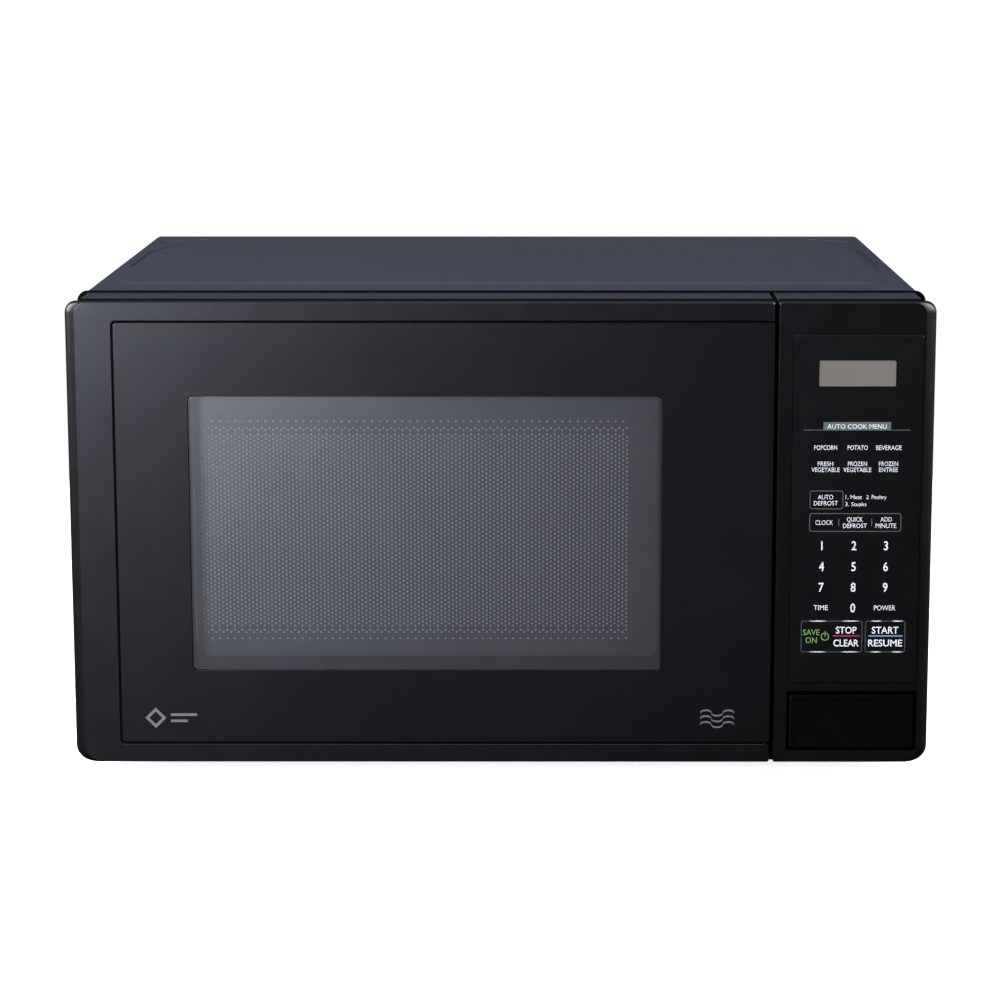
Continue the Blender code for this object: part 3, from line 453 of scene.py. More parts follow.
def front_rings(x0, x1, back, outer_left, back_round):
    """Rings from the back of a front piece round to its flat front."""
    lip_y = FRONT + LIP

    def outline(side_in, edge_in, drop=0.0):
        return front_outline(x0, x1, side_in, edge_in, outer_left, drop)

    rings = []
    for i in range(7):
        turn = math.radians(90 * i / 6)
        side_in = STEP + back_round * (1 - math.sin(turn))
        rings.append((outline(side_in, 0.0, FLANGE_DROP), back - back_round * (1 - math.cos(turn))))
    groove = outline(STEP + 0.7 * MM, 0.7 * MM)
    rings += [
        (outline(STEP, 0.0, FLANGE_DROP), lip_y + 0.5 * MM), (groove, lip_y + 0.4 * MM), (groove, lip_y),
        (outline(0.3 * MM, 0.3 * MM), lip_y), (outline(0.0, 0.0), lip_y - 0.25 * MM),
    ]
    for side, depth in BAND_CURVE:
        edge = max(0.0, BAND_EDGE - depth)
        rings.append((outline(side * MM, edge * MM), FRONT + depth * MM))
    return rings


def hinge_recess(node, upper):
    """The space that a hinge arm needs in the door's side."""
    low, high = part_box(node)
    top = high.z if upper else low.z + 2.0 * MM
    low_z = top - (2.3 if upper else 5.5) * MM
    high_z = top + (3.5 if upper else 0.3) * MM
    return (door_low.x - MM, HINGE_X + 8.5 * MM, HINGE_Y - 9.0 * MM, door_high.y + MM, low_z, high_z)


def door_casing():
    rings = front_rings(door_low.x, door_high.x, door_high.y, True, 8.6 * MM)
    x0, x1, z0, z1 = SEAT
    seat = (x0, x1 - 1.8 * MM, z0, z1)
    corner, edge = 2.5 * MM, 0.1 * MM
    rings += [
        (grown(seat, corner, edge), FRONT), (grown(seat, corner), FRONT + edge),
        (grown(seat, corner), SEAT_DEPTH),
        (grown(SIGHT, 3.0 * MM), SEAT_DEPTH), (grown(SIGHT, 3.0 * MM), POCKET_Y),
        (grown(POCKET, 3.0 * MM), POCKET_Y), (grown(POCKET, 3.0 * MM), door_high.y),
    ]
    recesses = [hinge_recess("upper_hinge_arm", True), hinge_recess("lower_hinge_arm", False)]
    open_side = (x1 - 2.6 * MM, x1 + MM, FRONT - MM, SEAT_DEPTH, z0, z1)
    bm = cut(loft(rings, "round"), cuboids(recesses + [open_side]))
    pins = bmesh.new()
    for node in ("upper_hinge_pin", "lower_hinge_pin"):
        low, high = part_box(node)
        middle = (HINGE_X, HINGE_Y, (low.z + high.z) / 2)
        rod(middle, "Z", 2.9 * MM, high.z - low.z + 3 * MM, bm=pins)
    piece("door_casing", cut(bm, pins), LOOK["door_satin"], DOOR, "door_frame", slot="body_gloss")


def door_facia():
    x0, x1, z0, z1 = facia_low.x, facia_high.x, facia_low.z, facia_high.z
    edge = 0.35 * MM

    def outer(draw):
        radii = (1.8 * MM, 0.3 * MM, 0.3 * MM, 1.8 * MM)
        return rounded(x0 + draw, x1 - draw, z0 + draw, z1 - draw, *radii)

    def hole(grow):
        return drawn_in(pane_low, pane_high, -0.3 * MM - grow, 2.6 * MM)

    rings = [
        (outer(0), facia_high.y), (outer(0), FRONT + edge), (outer(0.1 * MM), FRONT + 0.1 * MM),
        (outer(edge), FRONT), (hole(0.2 * MM), FRONT), (hole(0.05 * MM), FRONT + 0.05 * MM),
        (hole(0), FRONT + 0.2 * MM), (hole(0), facia_high.y),
    ]
    piece("door_facia", loft(rings, "round"), LOOK["facia"], DOOR, "door_front_plate", slot="glass_black")


def facia_painted_shade():
    """Painted shade: a black strip in the groove along the facia's left, top and bottom edges, standing in
    for the groove's shadow line.
    """
    x0, x1, z0, z1 = SEAT
    gap = 0.05 * MM
    outer = even(x0 + gap, x1 - 0.3 * MM, z0 + gap, z1 - gap, 2.4 * MM)
    plate = even(facia_low.x - gap, x1 + 4 * MM, facia_low.z - gap, facia_high.z + gap, 1.8 * MM)
    painted_shade = loft([(outer, FRONT + 0.5 * MM), (outer, SEAT_DEPTH - gap)])
    painted_shade = cut(painted_shade, loft([(plate, FRONT - MM), (plate, SEAT_DEPTH + MM)]))
    piece("facia_painted_shade", painted_shade, LOOK["painted_shade"], DOOR, slot="rubber")


def window_pane():
    def outline(draw):
        return drawn_in(pane_low, pane_high, draw, 2.4 * MM)

    y = pane_low.y
    rings = [
        (outline(0), pane_high.y), (outline(0), y + 0.25 * MM),
        (outline(0.08 * MM), y + 0.08 * MM), (outline(0.25 * MM), y),
    ]
    piece("window_pane", loft(rings), LOOK["pane"], DOOR, "door_window", slot="window_smoke")


SCREEN_FACE = screen_low.y
PLATEAU = (-0.1616, 0.0829, 0.0650, 0.2125)
PLATEAU_SLOPE = ((3.2, 3.4), (2.4, 2.6), (1.5, 1.2), (0.8, 0.4), (0.0, 0.0))
HOLE_DX = 2.013 * MM
HOLE_DZ = 1.168 * MM
HOLE_SIZE = 0.50
SHEET_WALL = 0.4 * MM
COLUMNS = 114
LAST_ROW = 50
SHEET_SINK = 0.05 * MM
FIELD_LEFT = -0.1608
FIELD_TOP = 0.1924


def hole_cell(bm, holed):
    """One six-sided cell of the screen about the origin, with or without its hole."""
    outer = bmesh.ops.create_circle(bm, cap_ends=not holed, segments=6, radius=1.0)["verts"]
    made = list(outer)
    if holed:
        inner = bmesh.ops.create_circle(bm, segments=6, radius=HOLE_SIZE)["verts"]
        made += inner
        bmesh.ops.bridge_loops(bm, edges=list({e for v in made for e in v.link_edges}))
    bmesh.ops.rotate(bm, cent=(0, 0, 0), matrix=Matrix.Rotation(math.radians(30), 3, "Z"), verts=made)
    stretch = (HOLE_DX * 2 / 3, HOLE_DZ / math.sin(math.pi / 3), 1)
    bmesh.ops.scale(bm, vec=stretch, verts=made)
    return made


def screen_column(odd):
    """A column of cells, hanging down from its first place. Its end holes stand apart by one blank cell."""
    first, last = (1, LAST_ROW) if odd else (0, LAST_ROW - 1)
    blank = {first + 1, last - 1}
    column = bmesh.new()
    for k in range(-1, LAST_ROW + 2):
        verts = hole_cell(column, first <= k <= last and k not in blank)
        bmesh.ops.translate(column, vec=(HOLE_DX * odd, -2 * HOLE_DZ * k - HOLE_DZ * odd, 0), verts=verts)
    mesh = bpy.data.meshes.new("column")
    column.to_mesh(mesh)
    column.free()
    return mesh


def perforated_sheet(name, first, count):
    """Part of the perforated field, from one pair of columns on, as a closed sheet."""
    field = bmesh.new()
    pair = [screen_column(False), screen_column(True)]
    for i in range(first, first + count):
        for mesh in pair:
            before = len(field.verts)
            field.from_mesh(mesh)
            field.verts.ensure_lookup_table()
            bmesh.ops.translate(field, vec=(2 * HOLE_DX * i, 0, 0), verts=field.verts[before:])
    bmesh.ops.remove_doubles(field, verts=field.verts, dist=2e-5)
    bmesh.ops.rotate(field, cent=(0, 0, 0), matrix=Matrix.Rotation(math.pi / 2, 3, "X"), verts=field.verts)
    bmesh.ops.recalc_face_normals(field, faces=field.faces)
    if sum(face.normal.y for face in field.faces) > 0:
        bmesh.ops.reverse_faces(field, faces=field.faces)
    bmesh.ops.solidify(field, geom=field.faces, thickness=SHEET_WALL)
    front = min(v.co.y for v in field.verts)
    place = (FIELD_LEFT, SCREEN_FACE - SHEET_SINK - front, FIELD_TOP)
    bmesh.ops.translate(field, vec=place, verts=field.verts)
    piece(name, field, LOOK["screen_paint"], DOOR, slot="steel")


def screen():
    """The screen pan, its perforated field, and the light film bonded behind the holes."""
    perforated_sheet("screen_field_left", 0, COLUMNS // 4)
    perforated_sheet("screen_field_right", COLUMNS // 4, COLUMNS // 2 - COLUMNS // 4)
    width = HOLE_DX * (COLUMNS - 1)
    margin = 0.6 * MM
    field = (
        FIELD_LEFT - margin, FIELD_LEFT + width + margin,
        FIELD_TOP - 101.4 * HOLE_DZ, FIELD_TOP + 1.4 * HOLE_DZ,
    )
    face, back = SCREEN_FACE, screen_high.y
    ledge = face + 3.5 * MM
    sheet = 0.5 * MM

    def edge(draw=0.0):
        return drawn_in(screen_low, screen_high, draw, 3 * MM)

    def plateau(grow):
        return grown(PLATEAU, 4 * MM, grow)

    rings = [
        (edge(), back), (edge(), ledge + 1.5 * MM),
        (edge(0.5 * MM), ledge + 0.4 * MM), (edge(1.6 * MM), ledge),
        (plateau(3.4 * MM), ledge), (plateau(3.4 * MM), ledge + sheet),
        (edge(1.8 * MM), ledge + sheet), (edge(sheet), ledge + 1.6 * MM), (edge(sheet), back),
    ]
    # The ledge and outer wall take the darker paint: painted shade for the recess
    piece("screen_rim", loft(rings, "round"), LOOK["rim_painted_shade"], DOOR, "door_screen", slot="steel")
    rings = [(plateau(out * MM), face + deep * MM) for out, deep in PLATEAU_SLOPE]
    rings += [(grown(field, 0.3 * MM), face), (grown(field, 0.3 * MM), face + sheet)]
    rings += [(plateau(0.0), face + sheet), (plateau(2.8 * MM), ledge + sheet)]
    piece("screen_plateau", loft(rings, "round"), LOOK["screen_paint"], DOOR, slot="steel")
    outside, inside = grown(SIGHT, 3 * MM, 4 * MM), grown(SIGHT, 3 * MM, 3 * MM)
    rings = [(outside, back), (outside, ledge + sheet), (inside, ledge + sheet), (inside, back)]
    piece("screen_inner_wall", loft(rings, "round"), LOOK["screen_paint"], DOOR, slot="steel")
    film = grown(field, MM, 2 * MM)
    rings = [(film, face + 0.50 * MM), (film, face + 0.75 * MM)]
    piece("screen_film", loft(rings), LOOK["film"], DOOR, "inner_film", slot="glass_clear")


def refine(node, look, body, width):
    """A CAD node's shape with rounded edges and its own finish."""
    bm = soften(cad_copy(node), width)
    piece(node + "_finished", bm, LOOK[look], body, node, slot=SLOT_OF[look])


# ---- control panel


BUTTON_HOLE = (0.1519, 0.2210, 0.0167, 0.0494)
BUTTON_STEM = {"x": (0.1560, 0.1640), "z": (0.0280, 0.0360)}
DISPLAY_GAP = 0.3 * MM


def display_hole():
    """A cutter for the opening in front of the display."""
    opening = drawn_in(display_low, display_high, -DISPLAY_GAP, 0.9 * MM)
    return loft([(opening, FRONT - MM), (opening, FRONT + 4 * MM)])


def control_panel():
    x0, x1 = panel_low.x, panel_high.x
    wall = 2.2 * MM
    hollow = even(x0 + wall, x1 - STEP - wall, BOTTOM + wall, TOP - wall, 1.5 * MM)
    rings = [(hollow, FRONT + wall), (hollow, panel_high.y)]
    bm = loft(rings + front_rings(x0, x1, panel_high.y, False, 2.0 * MM))
    seat = drawn_in(keypad_low, keypad_high, -0.35 * MM, 1.2 * MM)
    push = grown(BUTTON_HOLE, 1.2 * MM)
    bm = cut(
        bm, loft([(seat, FRONT - MM), (seat, FRONT + 0.8 * MM)]), display_hole(),
        loft([(push, FRONT - MM), (push, FRONT + 4 * MM)]),
    )
    piece("control_panel_casing", bm, LOOK["panel_satin"], OVEN, "control_panel_frame", slot="panel_black")
    keypad()
    display()
    open_button()


def keypad():
    edge = 0.15 * MM
    outer = drawn_in(keypad_low, keypad_high, 0, MM)
    inner = drawn_in(keypad_low, keypad_high, edge, MM)
    bm = cut(loft([(outer, keypad_high.y), (outer, FRONT + edge), (inner, FRONT)]), display_hole())
    piece("keypad_film", bm, LOOK["keypad"], OVEN, "keypad_membrane", slot="panel_black")


def display():
    low, high = display_low, display_high
    edge = 0.1 * MM
    outer, inner = drawn_in(low, high, 0, 0.8 * MM), drawn_in(low, high, edge, 0.8 * MM)
    bm = loft([(outer, high.y), (outer, low.y + edge), (inner, low.y)])
    piece("display_pane", bm, LOOK["display"], OVEN, "display_window", slot="display_grey")


def open_button():
    """The push button's cap, dished a little, with its stem."""
    face_y = button_low.y
    cap_back = face_y + 7.6 * MM

    def outline(draw):
        return drawn_in(button_low, button_high, draw * MM, 1.3 * MM)

    rings = [
        (outline(1.4), cap_back), (outline(0), cap_back), (outline(0), face_y + 0.6 * MM),
        (outline(0.15), face_y + 0.2 * MM), (outline(0.6), face_y), (outline(2.0), face_y),
        (outline(3.0), face_y + 0.25 * MM),
    ]
    stem = cuboid(*BUTTON_STEM["x"], cap_back - 2 * MM, button_high.y, *BUTTON_STEM["z"])
    bm = join(loft(rings), stem)
    piece("door_button", bm, LOOK["button"], "button", "door_open_button", slot="panel_black")


# Keypad print: places are across from the keypad's left edge and up from its bottom, in millimetres
PRINT_Y = FRONT - 0.03 * MM
PRINT_BACK = FRONT - 0.001 * MM


def lettering(words, x, z, width, height, bold=0.0):
    """Words as flat print of a given capital height and width, or condensed where no width is given."""
    curve = bpy.data.curves.new("words", "FONT")
    curve.body = words
    curve.align_x = "CENTER"
    curve.resolution_u = 3
    curve.offset = bold
    obj = bpy.data.objects.new("words", curve)
    show(obj)
    graph = bpy.context.evaluated_depsgraph_get()
    bm = bmesh.new()
    bm.from_mesh(obj.evaluated_get(graph).to_mesh())
    bpy.data.objects.remove(obj, do_unlink=True)
    left, right = min(v.co.x for v in bm.verts), max(v.co.x for v in bm.verts)
    top = max(v.co.y for v in bm.verts)
    bmesh.ops.translate(bm, vec=(-(left + right) / 2, -top / 2, 0), verts=bm.verts)
    across_scale = width / (right - left) if width else DIGIT_CONDENSED * height / top
    bmesh.ops.scale(bm, vec=(across_scale, height / top, 1), verts=bm.verts)
    bmesh.ops.rotate(bm, cent=(0, 0, 0), matrix=Matrix.Rotation(math.pi / 2, 3, "X"), verts=bm.verts)
    bmesh.ops.translate(bm, vec=(x, PRINT_Y, z), verts=bm.verts)
    return bm


def thin_frame(x0, x1, z0, z1, line, radius):
    """A printed outline."""
    steps = 4
    outer = even(x0, x1, z0, z1, radius, steps)
    inner = even(x0 + line, x1 - line, z0 + line, z1 - line, max(radius - line, 0.05 * MM), steps)
    return loft([(outer, PRINT_BACK), (outer, PRINT_Y), (inner, PRINT_Y), (inner, PRINT_BACK)], "round")


def bar(x0, x1, z0, z1):
    return cuboid(x0, x1, PRINT_Y, PRINT_BACK, z0, z1)


def merged(meshes):
    whole = bmesh.new()
    for bm in meshes:
        mesh = bpy.data.meshes.new("part")
        bm.to_mesh(mesh)
        bm.free()
        whole.from_mesh(mesh)
    return whole


def across(share):
    """A place across the keypad, as millimetres from its left edge."""
    return keypad_low.x + share * MM


def up(share):
    """A place up the keypad, as millimetres from its bottom edge."""
    return keypad_low.z + share * MM


COLUMN_X = (16.3, 33.2, 50.1)
DIGIT_ROWS = (74.5, 63.2, 52.0, 40.8)
DIGIT_HEIGHT = 4.8
DIGIT_CONDENSED = 0.82

# Each word with its place, its width and its capital height
WORDS = (
    ("AUTO COOK MENU", 33.6, 138.3, 31.0, 2.35),
    ("POPCORN", 17.4, 127.0, 12.0, 2.45), ("POTATO", 34.2, 127.0, 10.5, 2.45),
    ("BEVERAGE", 50.5, 127.0, 13.3, 2.45),
    ("FRESH", 17.4, 118.4, 8.1, 2.35), ("VEGETABLE", 17.5, 115.2, 14.7, 2.35),
    ("FROZEN", 34.2, 118.4, 10.0, 2.35), ("VEGETABLE", 34.2, 115.2, 14.6, 2.35),
    ("FROZEN", 50.5, 118.4, 10.0, 2.35), ("ENTREE", 50.5, 115.2, 9.9, 2.35),
    ("AUTO", 17.8, 100.6, 8.0, 2.4), ("DEFROST", 18.0, 97.3, 12.6, 2.4),
    ("1. Meat", 32.6, 100.6, 8.6, 2.1), ("2. Poultry", 44.5, 100.6, 10.6, 2.1),
    ("3. Steaks", 33.8, 96.8, 11.1, 2.1),
    ("CLOCK", 17.3, 86.9, 9.2, 2.45), ("QUICK", 33.4, 88.6, 8.4, 2.4), ("DEFROST", 33.5, 85.2, 12.5, 2.4),
    ("ADD", 49.9, 88.6, 6.0, 2.4), ("MINUTE", 49.8, 85.2, 10.9, 2.4),
    ("TIME", 16.3, 40.9, 7.5, 2.65), ("POWER", 50.1, 40.8, 11.3, 2.65),
)
KEY_WORDS = (
    ("STOP", 30.0, 28.7, 11.0), ("CLEAR", 30.0, 21.7, 13.4),
    ("START", 50.6, 28.7, 14.1), ("RESUME", 50.7, 21.7, 18.0),
)
KEY_WORD_HEIGHT = 3.7
STOP_KEY = (5.9, 38.6, 16.5, 33.9)
START_KEY = (39.9, 61.4, 16.5, 33.9)
# Painted highlights on the key frames: the share along a key where the first bright stripe stands, and the
# share between stripes
HIGHLIGHT_SHARE = 0.277
HIGHLIGHT_PERIOD_SHARE = 0.524


def placed_words(table, bold=0.0):
    return [
        lettering(text, across(x), up(z), width and width * MM, height * MM, bold)
        for text, x, z, width, height in table
    ]


def key_frame(name, key):
    """A key's metal outline, with painted highlights: light and dark stripes along it."""
    x0, x1, z0, z1 = key
    line = thin_frame(across(x0), across(x1), up(z0), up(z1), 0.6 * MM, 1.3 * MM)
    look = Finish(name + "_metal_painted_highlights", (0.055, 0.055, 0.055), 0.4, 0.2)
    look.painted_highlights(across(x0 + HIGHLIGHT_SHARE * (x1 - x0)), HIGHLIGHT_PERIOD_SHARE * (x1 - x0) * MM)
    piece(name, line, look.material, OVEN, slot="steel")


def keypad_print():
    digits = []
    for row, names in zip(DIGIT_ROWS, ("123", "456", "789", " 0 ")):
        for column, name in zip(COLUMN_X, names):
            if name != " ":
                digits.append((name, column, row, None, DIGIT_HEIGHT))
    keys = [(text, x, z, width, KEY_WORD_HEIGHT) for text, x, z, width in KEY_WORDS]
    white = placed_words(WORDS) + placed_words(digits + keys, 0.012)
    piece("keypad_print", merged(white), LOOK["print_white"], OVEN, slot="plastic_white")
    line = 0.35 * MM

    def placed_bar(x0, x1, z0, z1):
        return bar(across(x0), across(x1), up(z0), up(z1))

    grey = [
        thin_frame(across(9.5), across(27.1), up(94.1), up(104.0), line, 1.3 * MM),
        thin_frame(across(9.5), across(57.8), up(82.0), up(91.9), line, 1.3 * MM),
        placed_bar(24.8, 25.2, 85.1, 88.9), placed_bar(42.1, 42.5, 85.1, 88.9),
        placed_bar(5.7, 16.0, 136.2, 136.5), placed_bar(51.4, 61.5, 136.2, 136.5),
    ]
    piece("keypad_lines", merged(grey), LOOK["print_grey"], OVEN, slot="plastic_white")
    key_frame("stop_key_frame", STOP_KEY)
    key_frame("start_key_frame", START_KEY)
    label = cuboid(across(16.0), across(51.4), FRONT - 0.015 * MM, PRINT_BACK, up(136.2), up(140.6))
    piece("menu_label", label, LOOK["print_slate"], OVEN, slot="plastic_dark")
    piece("stop_line", placed_bar(23.1, 37.1, 25.1, 25.9), LOOK["print_red"], OVEN, slot="plastic_dark")
    piece("start_line", placed_bar(41.8, 59.9, 25.1, 25.9), LOOK["print_blue"], OVEN, slot="plastic_dark")
    saver = placed_words((("SAVE", 11.5, 27.5, 8.8, 3.1), ("ON", 11.5, 23.2, 6.0, 3.1)))
    saver.append(thin_frame(across(16.6), across(21.0), up(22.9), up(27.3), 0.45 * MM, 2.2 * MM))
    saver.append(placed_bar(18.6, 19.0, 25.0, 28.2))
    piece("saver_mark", merged(saver), LOOK["print_green"], OVEN, slot="board_green")


MARK_LEFT, MARK_RIGHT, MARK_Z = -0.1840, 0.1180, 0.0345
LOZENGE = ((5.6, 0), (0, 5.6), (-5.6, 0), (0, -5.6))
LOZENGE_HOLE = 0.62


def facia_marks():
    """Plain marks: a lozenge with two bars at the left, and three short waves at the right."""
    y0, y1 = FRONT - 0.04 * MM, FRONT - 0.002 * MM

    def at(points, x, size=1.0):
        return [(x + u * size * MM, MARK_Z + v * size * MM) for u, v in points]

    outer, hole = at(LOZENGE, MARK_LEFT), at(LOZENGE, MARK_LEFT, LOZENGE_HOLE)
    marks = [loft([(outer, y1), (outer, y0), (hole, y0), (hole, y1)], "round")]
    for length, low, high in ((22, 1.0, 2.4), (17, -2.4, -1.0)):
        ends = (MARK_LEFT + 8 * MM, MARK_LEFT + length * MM)
        marks.append(cuboid(*ends, y0, y1, MARK_Z + low * MM, MARK_Z + high * MM))
    for level in (-3.2, 0.0, 3.2):
        for i in range(3):
            u = 6.0 * i - 9.0
            crest = arc(0, 0, 3.0, 1.5, 180, 0 if i % 2 == 0 else 360, 8)
            inside = [(a * 0.999, b - 0.9) for a, b in reversed(crest)]
            outline = at([(u + a, level + b) for a, b in crest + inside], MARK_RIGHT)
            marks.append(loft([(outline, y1), (outline, y0)]))
    piece("facia_marks", merged(marks), LOOK["mark_silver"], DOOR, slot="steel")


# ---- cabinet

ROOF = 0.2568
SHEET = 1.0 * MM
BEND = 5.0 * MM

# The roof's raised field, with its edge's slope in millimetres, and the pressed line round its rear
FIELD_HALF = 0.215
FIELD_FRONT, FIELD_BACK = FRONT + 0.082, FRONT + 0.312
FIELD_NEAR = 15 * MM
FIELD_REAR = (65 * MM, 84 * MM)
FIELD_SLOPE = (
    (-1.0, -0.3), (-1.0, 0.0), (0.0, 0.06), (1.0, 0.3), (2.0, 0.62), (3.0, 0.92), (4.0, 1.12), (5.0, 1.2),
)
FIELD_RISE = 1.2
GROOVE_WIDE, GROOVE_DEEP = 2.4 * MM, 0.6 * MM
GROOVE_START = FRONT + 0.165


def u_profile(half, roof, bend, foot):
    left = arc(-half + bend, roof - bend, bend, bend, 180, 90, 8)
    right = arc(half - bend, roof - bend, bend, bend, 90, 0, 8)
    return [(-half, foot)] + left + right + [(half, foot)]


def field_outline(draw):
    """The raised field on the roof: small arcs at the front corners, long ones at the rear."""
    near = FIELD_NEAR - draw
    rear = (FIELD_REAR[0] - draw, FIELD_REAR[1] - draw)
    x, y0, y1 = FIELD_HALF - draw, FIELD_FRONT + draw, FIELD_BACK - draw
    return rounded(-x, x, y0, y1, near, near, rear, rear, 14)


def lying(rings):
    """A solid from flat outlines (x, y) stacked at heights."""
    bm = bmesh.new()
    loops = []
    for outline, z in rings:
        verts = [bm.verts.new((x, y, z)) for x, y in outline]
        loops.append(verts)
    for a, b in zip(loops, loops[1:]):
        for i in range(len(a)):
            j = (i + 1) % len(a)
            bm.faces.new((a[i], a[j], b[j], b[i]))
    bm.faces.new(loops[0])
    bm.faces.new(loops[-1])
    bmesh.ops.recalc_face_normals(bm, faces=bm.faces)
    return bm


def crescent(side):
    """A shallow pressed dish outside a rear corner of the raised field, pointed at both ends."""
    steps = 14
    outer = arc(side * 0.186, FRONT + 0.286, side * 32 * MM, 29.5 * MM, 4, 86, steps)
    (x0, y0), (x1, y1) = outer[0], outer[-1]
    inner = []
    for i, (x, y) in enumerate(outer):
        chord_x, chord_y = x0 + (x1 - x0) * i / steps, y0 + (y1 - y0) * i / steps
        inner.append((chord_x - 0.15 * (x - chord_x), chord_y - 0.15 * (y - chord_y)))

    def lens(share):
        """The dish's outline with its two sides drawn together."""
        far, near = [], []
        for (ax, ay), (bx, by) in zip(outer, inner):
            mx, my = (ax + bx) / 2, (ay + by) / 2
            far.append((ax + (mx - ax) * share, ay + (my - ay) * share))
            near.append((bx + (mx - bx) * share, by + (my - by) * share))
        return far + near[-2:0:-1]

    levels = ((0, 0.3), (0, -0.02), (0.3, -0.6), (0.8, -0.75))
    return lying([(lens(share), ROOF + level * MM) for share, level in levels])


def rear_groove():
    """A fine pressed line round the raised field's rear corners and back edge."""
    rim = field_outline(-GROOVE_WIDE)
    outer = lying([(rim, ROOF + MM), (rim, ROOF), (field_outline(-0.6 * GROOVE_WIDE), ROOF - GROOVE_DEEP)])
    inner = lying([(field_outline(0), ROOF + 2 * MM), (field_outline(0), ROOF - 2 * MM)])
    return cut(outer, inner, cuboid(-0.3, 0.3, FRONT, GROOVE_START, ROOF - 5 * MM, ROOF + 5 * MM))


def side_vents(half):
    """Cutters for the slots in the cabinet's sides, with a longer double row beside the fan."""
    wide = 3.5 * MM
    right, left = (half - 2 * MM, half + MM), (-half - MM, -half + 2 * MM)
    vents = []
    for z0, z1 in ((0.150, 0.172), (0.180, 0.202)):
        vents += [(*right, 0.030 + 0.010 * i, 0.030 + 0.010 * i + wide, z0, z1) for i in range(9)]
    vents += [(*left, 0.010 * i - 0.060, 0.010 * i - 0.060 + wide, 0.160, 0.190) for i in range(8)]
    return cuboids(vents)


def cabinet_shell():
    half, foot = cabinet_high.x, cabinet_low.z
    outside = u_profile(half, ROOF, BEND, foot)
    inside = u_profile(half - SHEET, ROOF - SHEET, BEND - SHEET, foot)
    outline = outside + inside[::-1]
    bm = loft([(outline, cabinet_low.y), (outline, cabinet_high.y)])
    height = cabinet_high.z - ROOF
    rings = [(field_outline(draw * MM), ROOF + rise / FIELD_RISE * height) for draw, rise in FIELD_SLOPE]
    bm = cut(join(bm, lying(rings)), side_vents(half), crescent(1), crescent(-1), rear_groove())
    piece("cabinet_shell", bm, LOOK["paint"], OVEN, "outer_cabinet", slot="cabinet_paint", smooth=25)


def front_shade_and_sheen():
    """Painted shade and sheen: thin black strips at the cabinet's front, behind the flanges and in the slot,
    standing in for the shade in those gaps, and the flanges' caps, a lighter bluish coat standing in for the
    light from above on their tops.
    """
    half, y0 = cabinet_high.x, cabinet_low.y
    foot = ROOF - 14 * MM
    outside = u_profile(half + 0.15 * MM, ROOF + 2.0 * MM, BEND + 0.6 * MM, foot)
    inside = u_profile(half - 0.8 * MM, ROOF - 0.8 * MM, BEND - 0.8 * MM, foot)
    outline = outside + inside[::-1]
    # Painted shade: a black strip round the cabinet's front edge for the dark gap above the door
    painted_shade = loft([(outline, y0 - 0.1 * MM), (outline, y0 + 0.7 * MM)])
    piece("cabinet_front_painted_shade", painted_shade, LOOK["painted_shade"], OVEN, slot="rubber")
    lip_y = FRONT + LIP
    door_ends = (door_low.x + 7 * MM, door_high.x - 0.3 * MM)
    panel_ends = (panel_low.x + 0.3 * MM, panel_high.x - 7 * MM)
    for name, body, ends, back in (
        ("door_flange", DOOR, door_ends, door_high.y),
        ("panel_flange", OVEN, panel_ends, panel_high.y),
    ):
        # Painted shade: a black strip at the flange's lip for the dark gap along its top edge
        line = even(*ends, TOP - 1.0 * MM, TOP + 0.8 * MM, 0.2 * MM, 3)
        painted_shade = loft([(line, lip_y + 0.02 * MM), (line, lip_y + 0.4 * MM)])
        piece(name + "_painted_shade", painted_shade, LOOK["painted_shade"], body, slot="rubber")
        # Painted sheen: a lighter, bluer cap on the flange's top face, standing in for the light from above
        cap = cuboid(*ends, lip_y + 0.6 * MM, back - 0.3 * MM, TOP - 0.5 * MM, TOP - 0.2 * MM)
        piece(name + "_painted_sheen_cap", cap, LOOK["top_painted_sheen"], body, slot="cabinet_paint")
    across_slot = (door_high.x + 0.4 * MM, panel_low.x + 0.3 * MM)
    # Painted shade: a black block filling the slot between door and panel, for the shade in it
    slot = cuboid(*across_slot, FRONT + 4 * MM, y0, BOTTOM + 0.3 * MM, TOP - 1.5 * MM)
    piece("slot_painted_shade", slot, LOOK["painted_shade"], OVEN, slot="rubber")


# ---- cavity and turntable


LINER_WALL = 1.0 * MM
LINER_CORNER = 9 * MM
LAMP_Y, LAMP_Z = -0.050, 0.200


def lamp_holes(x, length, bm):
    """Rods through the liner where the lamp shines in, staggered inside a circle."""
    for i in range(5):
        for k in range(5):
            y = LAMP_Y + (i - 2) * 4.4 * MM + (2.2 * MM if k % 2 else 0)
            z = LAMP_Z + (k - 2) * 3.8 * MM
            if math.hypot(y - LAMP_Y, z - LAMP_Z) < 9.6 * MM:
                rod((x, y, z), "X", 1.5 * MM, length, 12, bm)


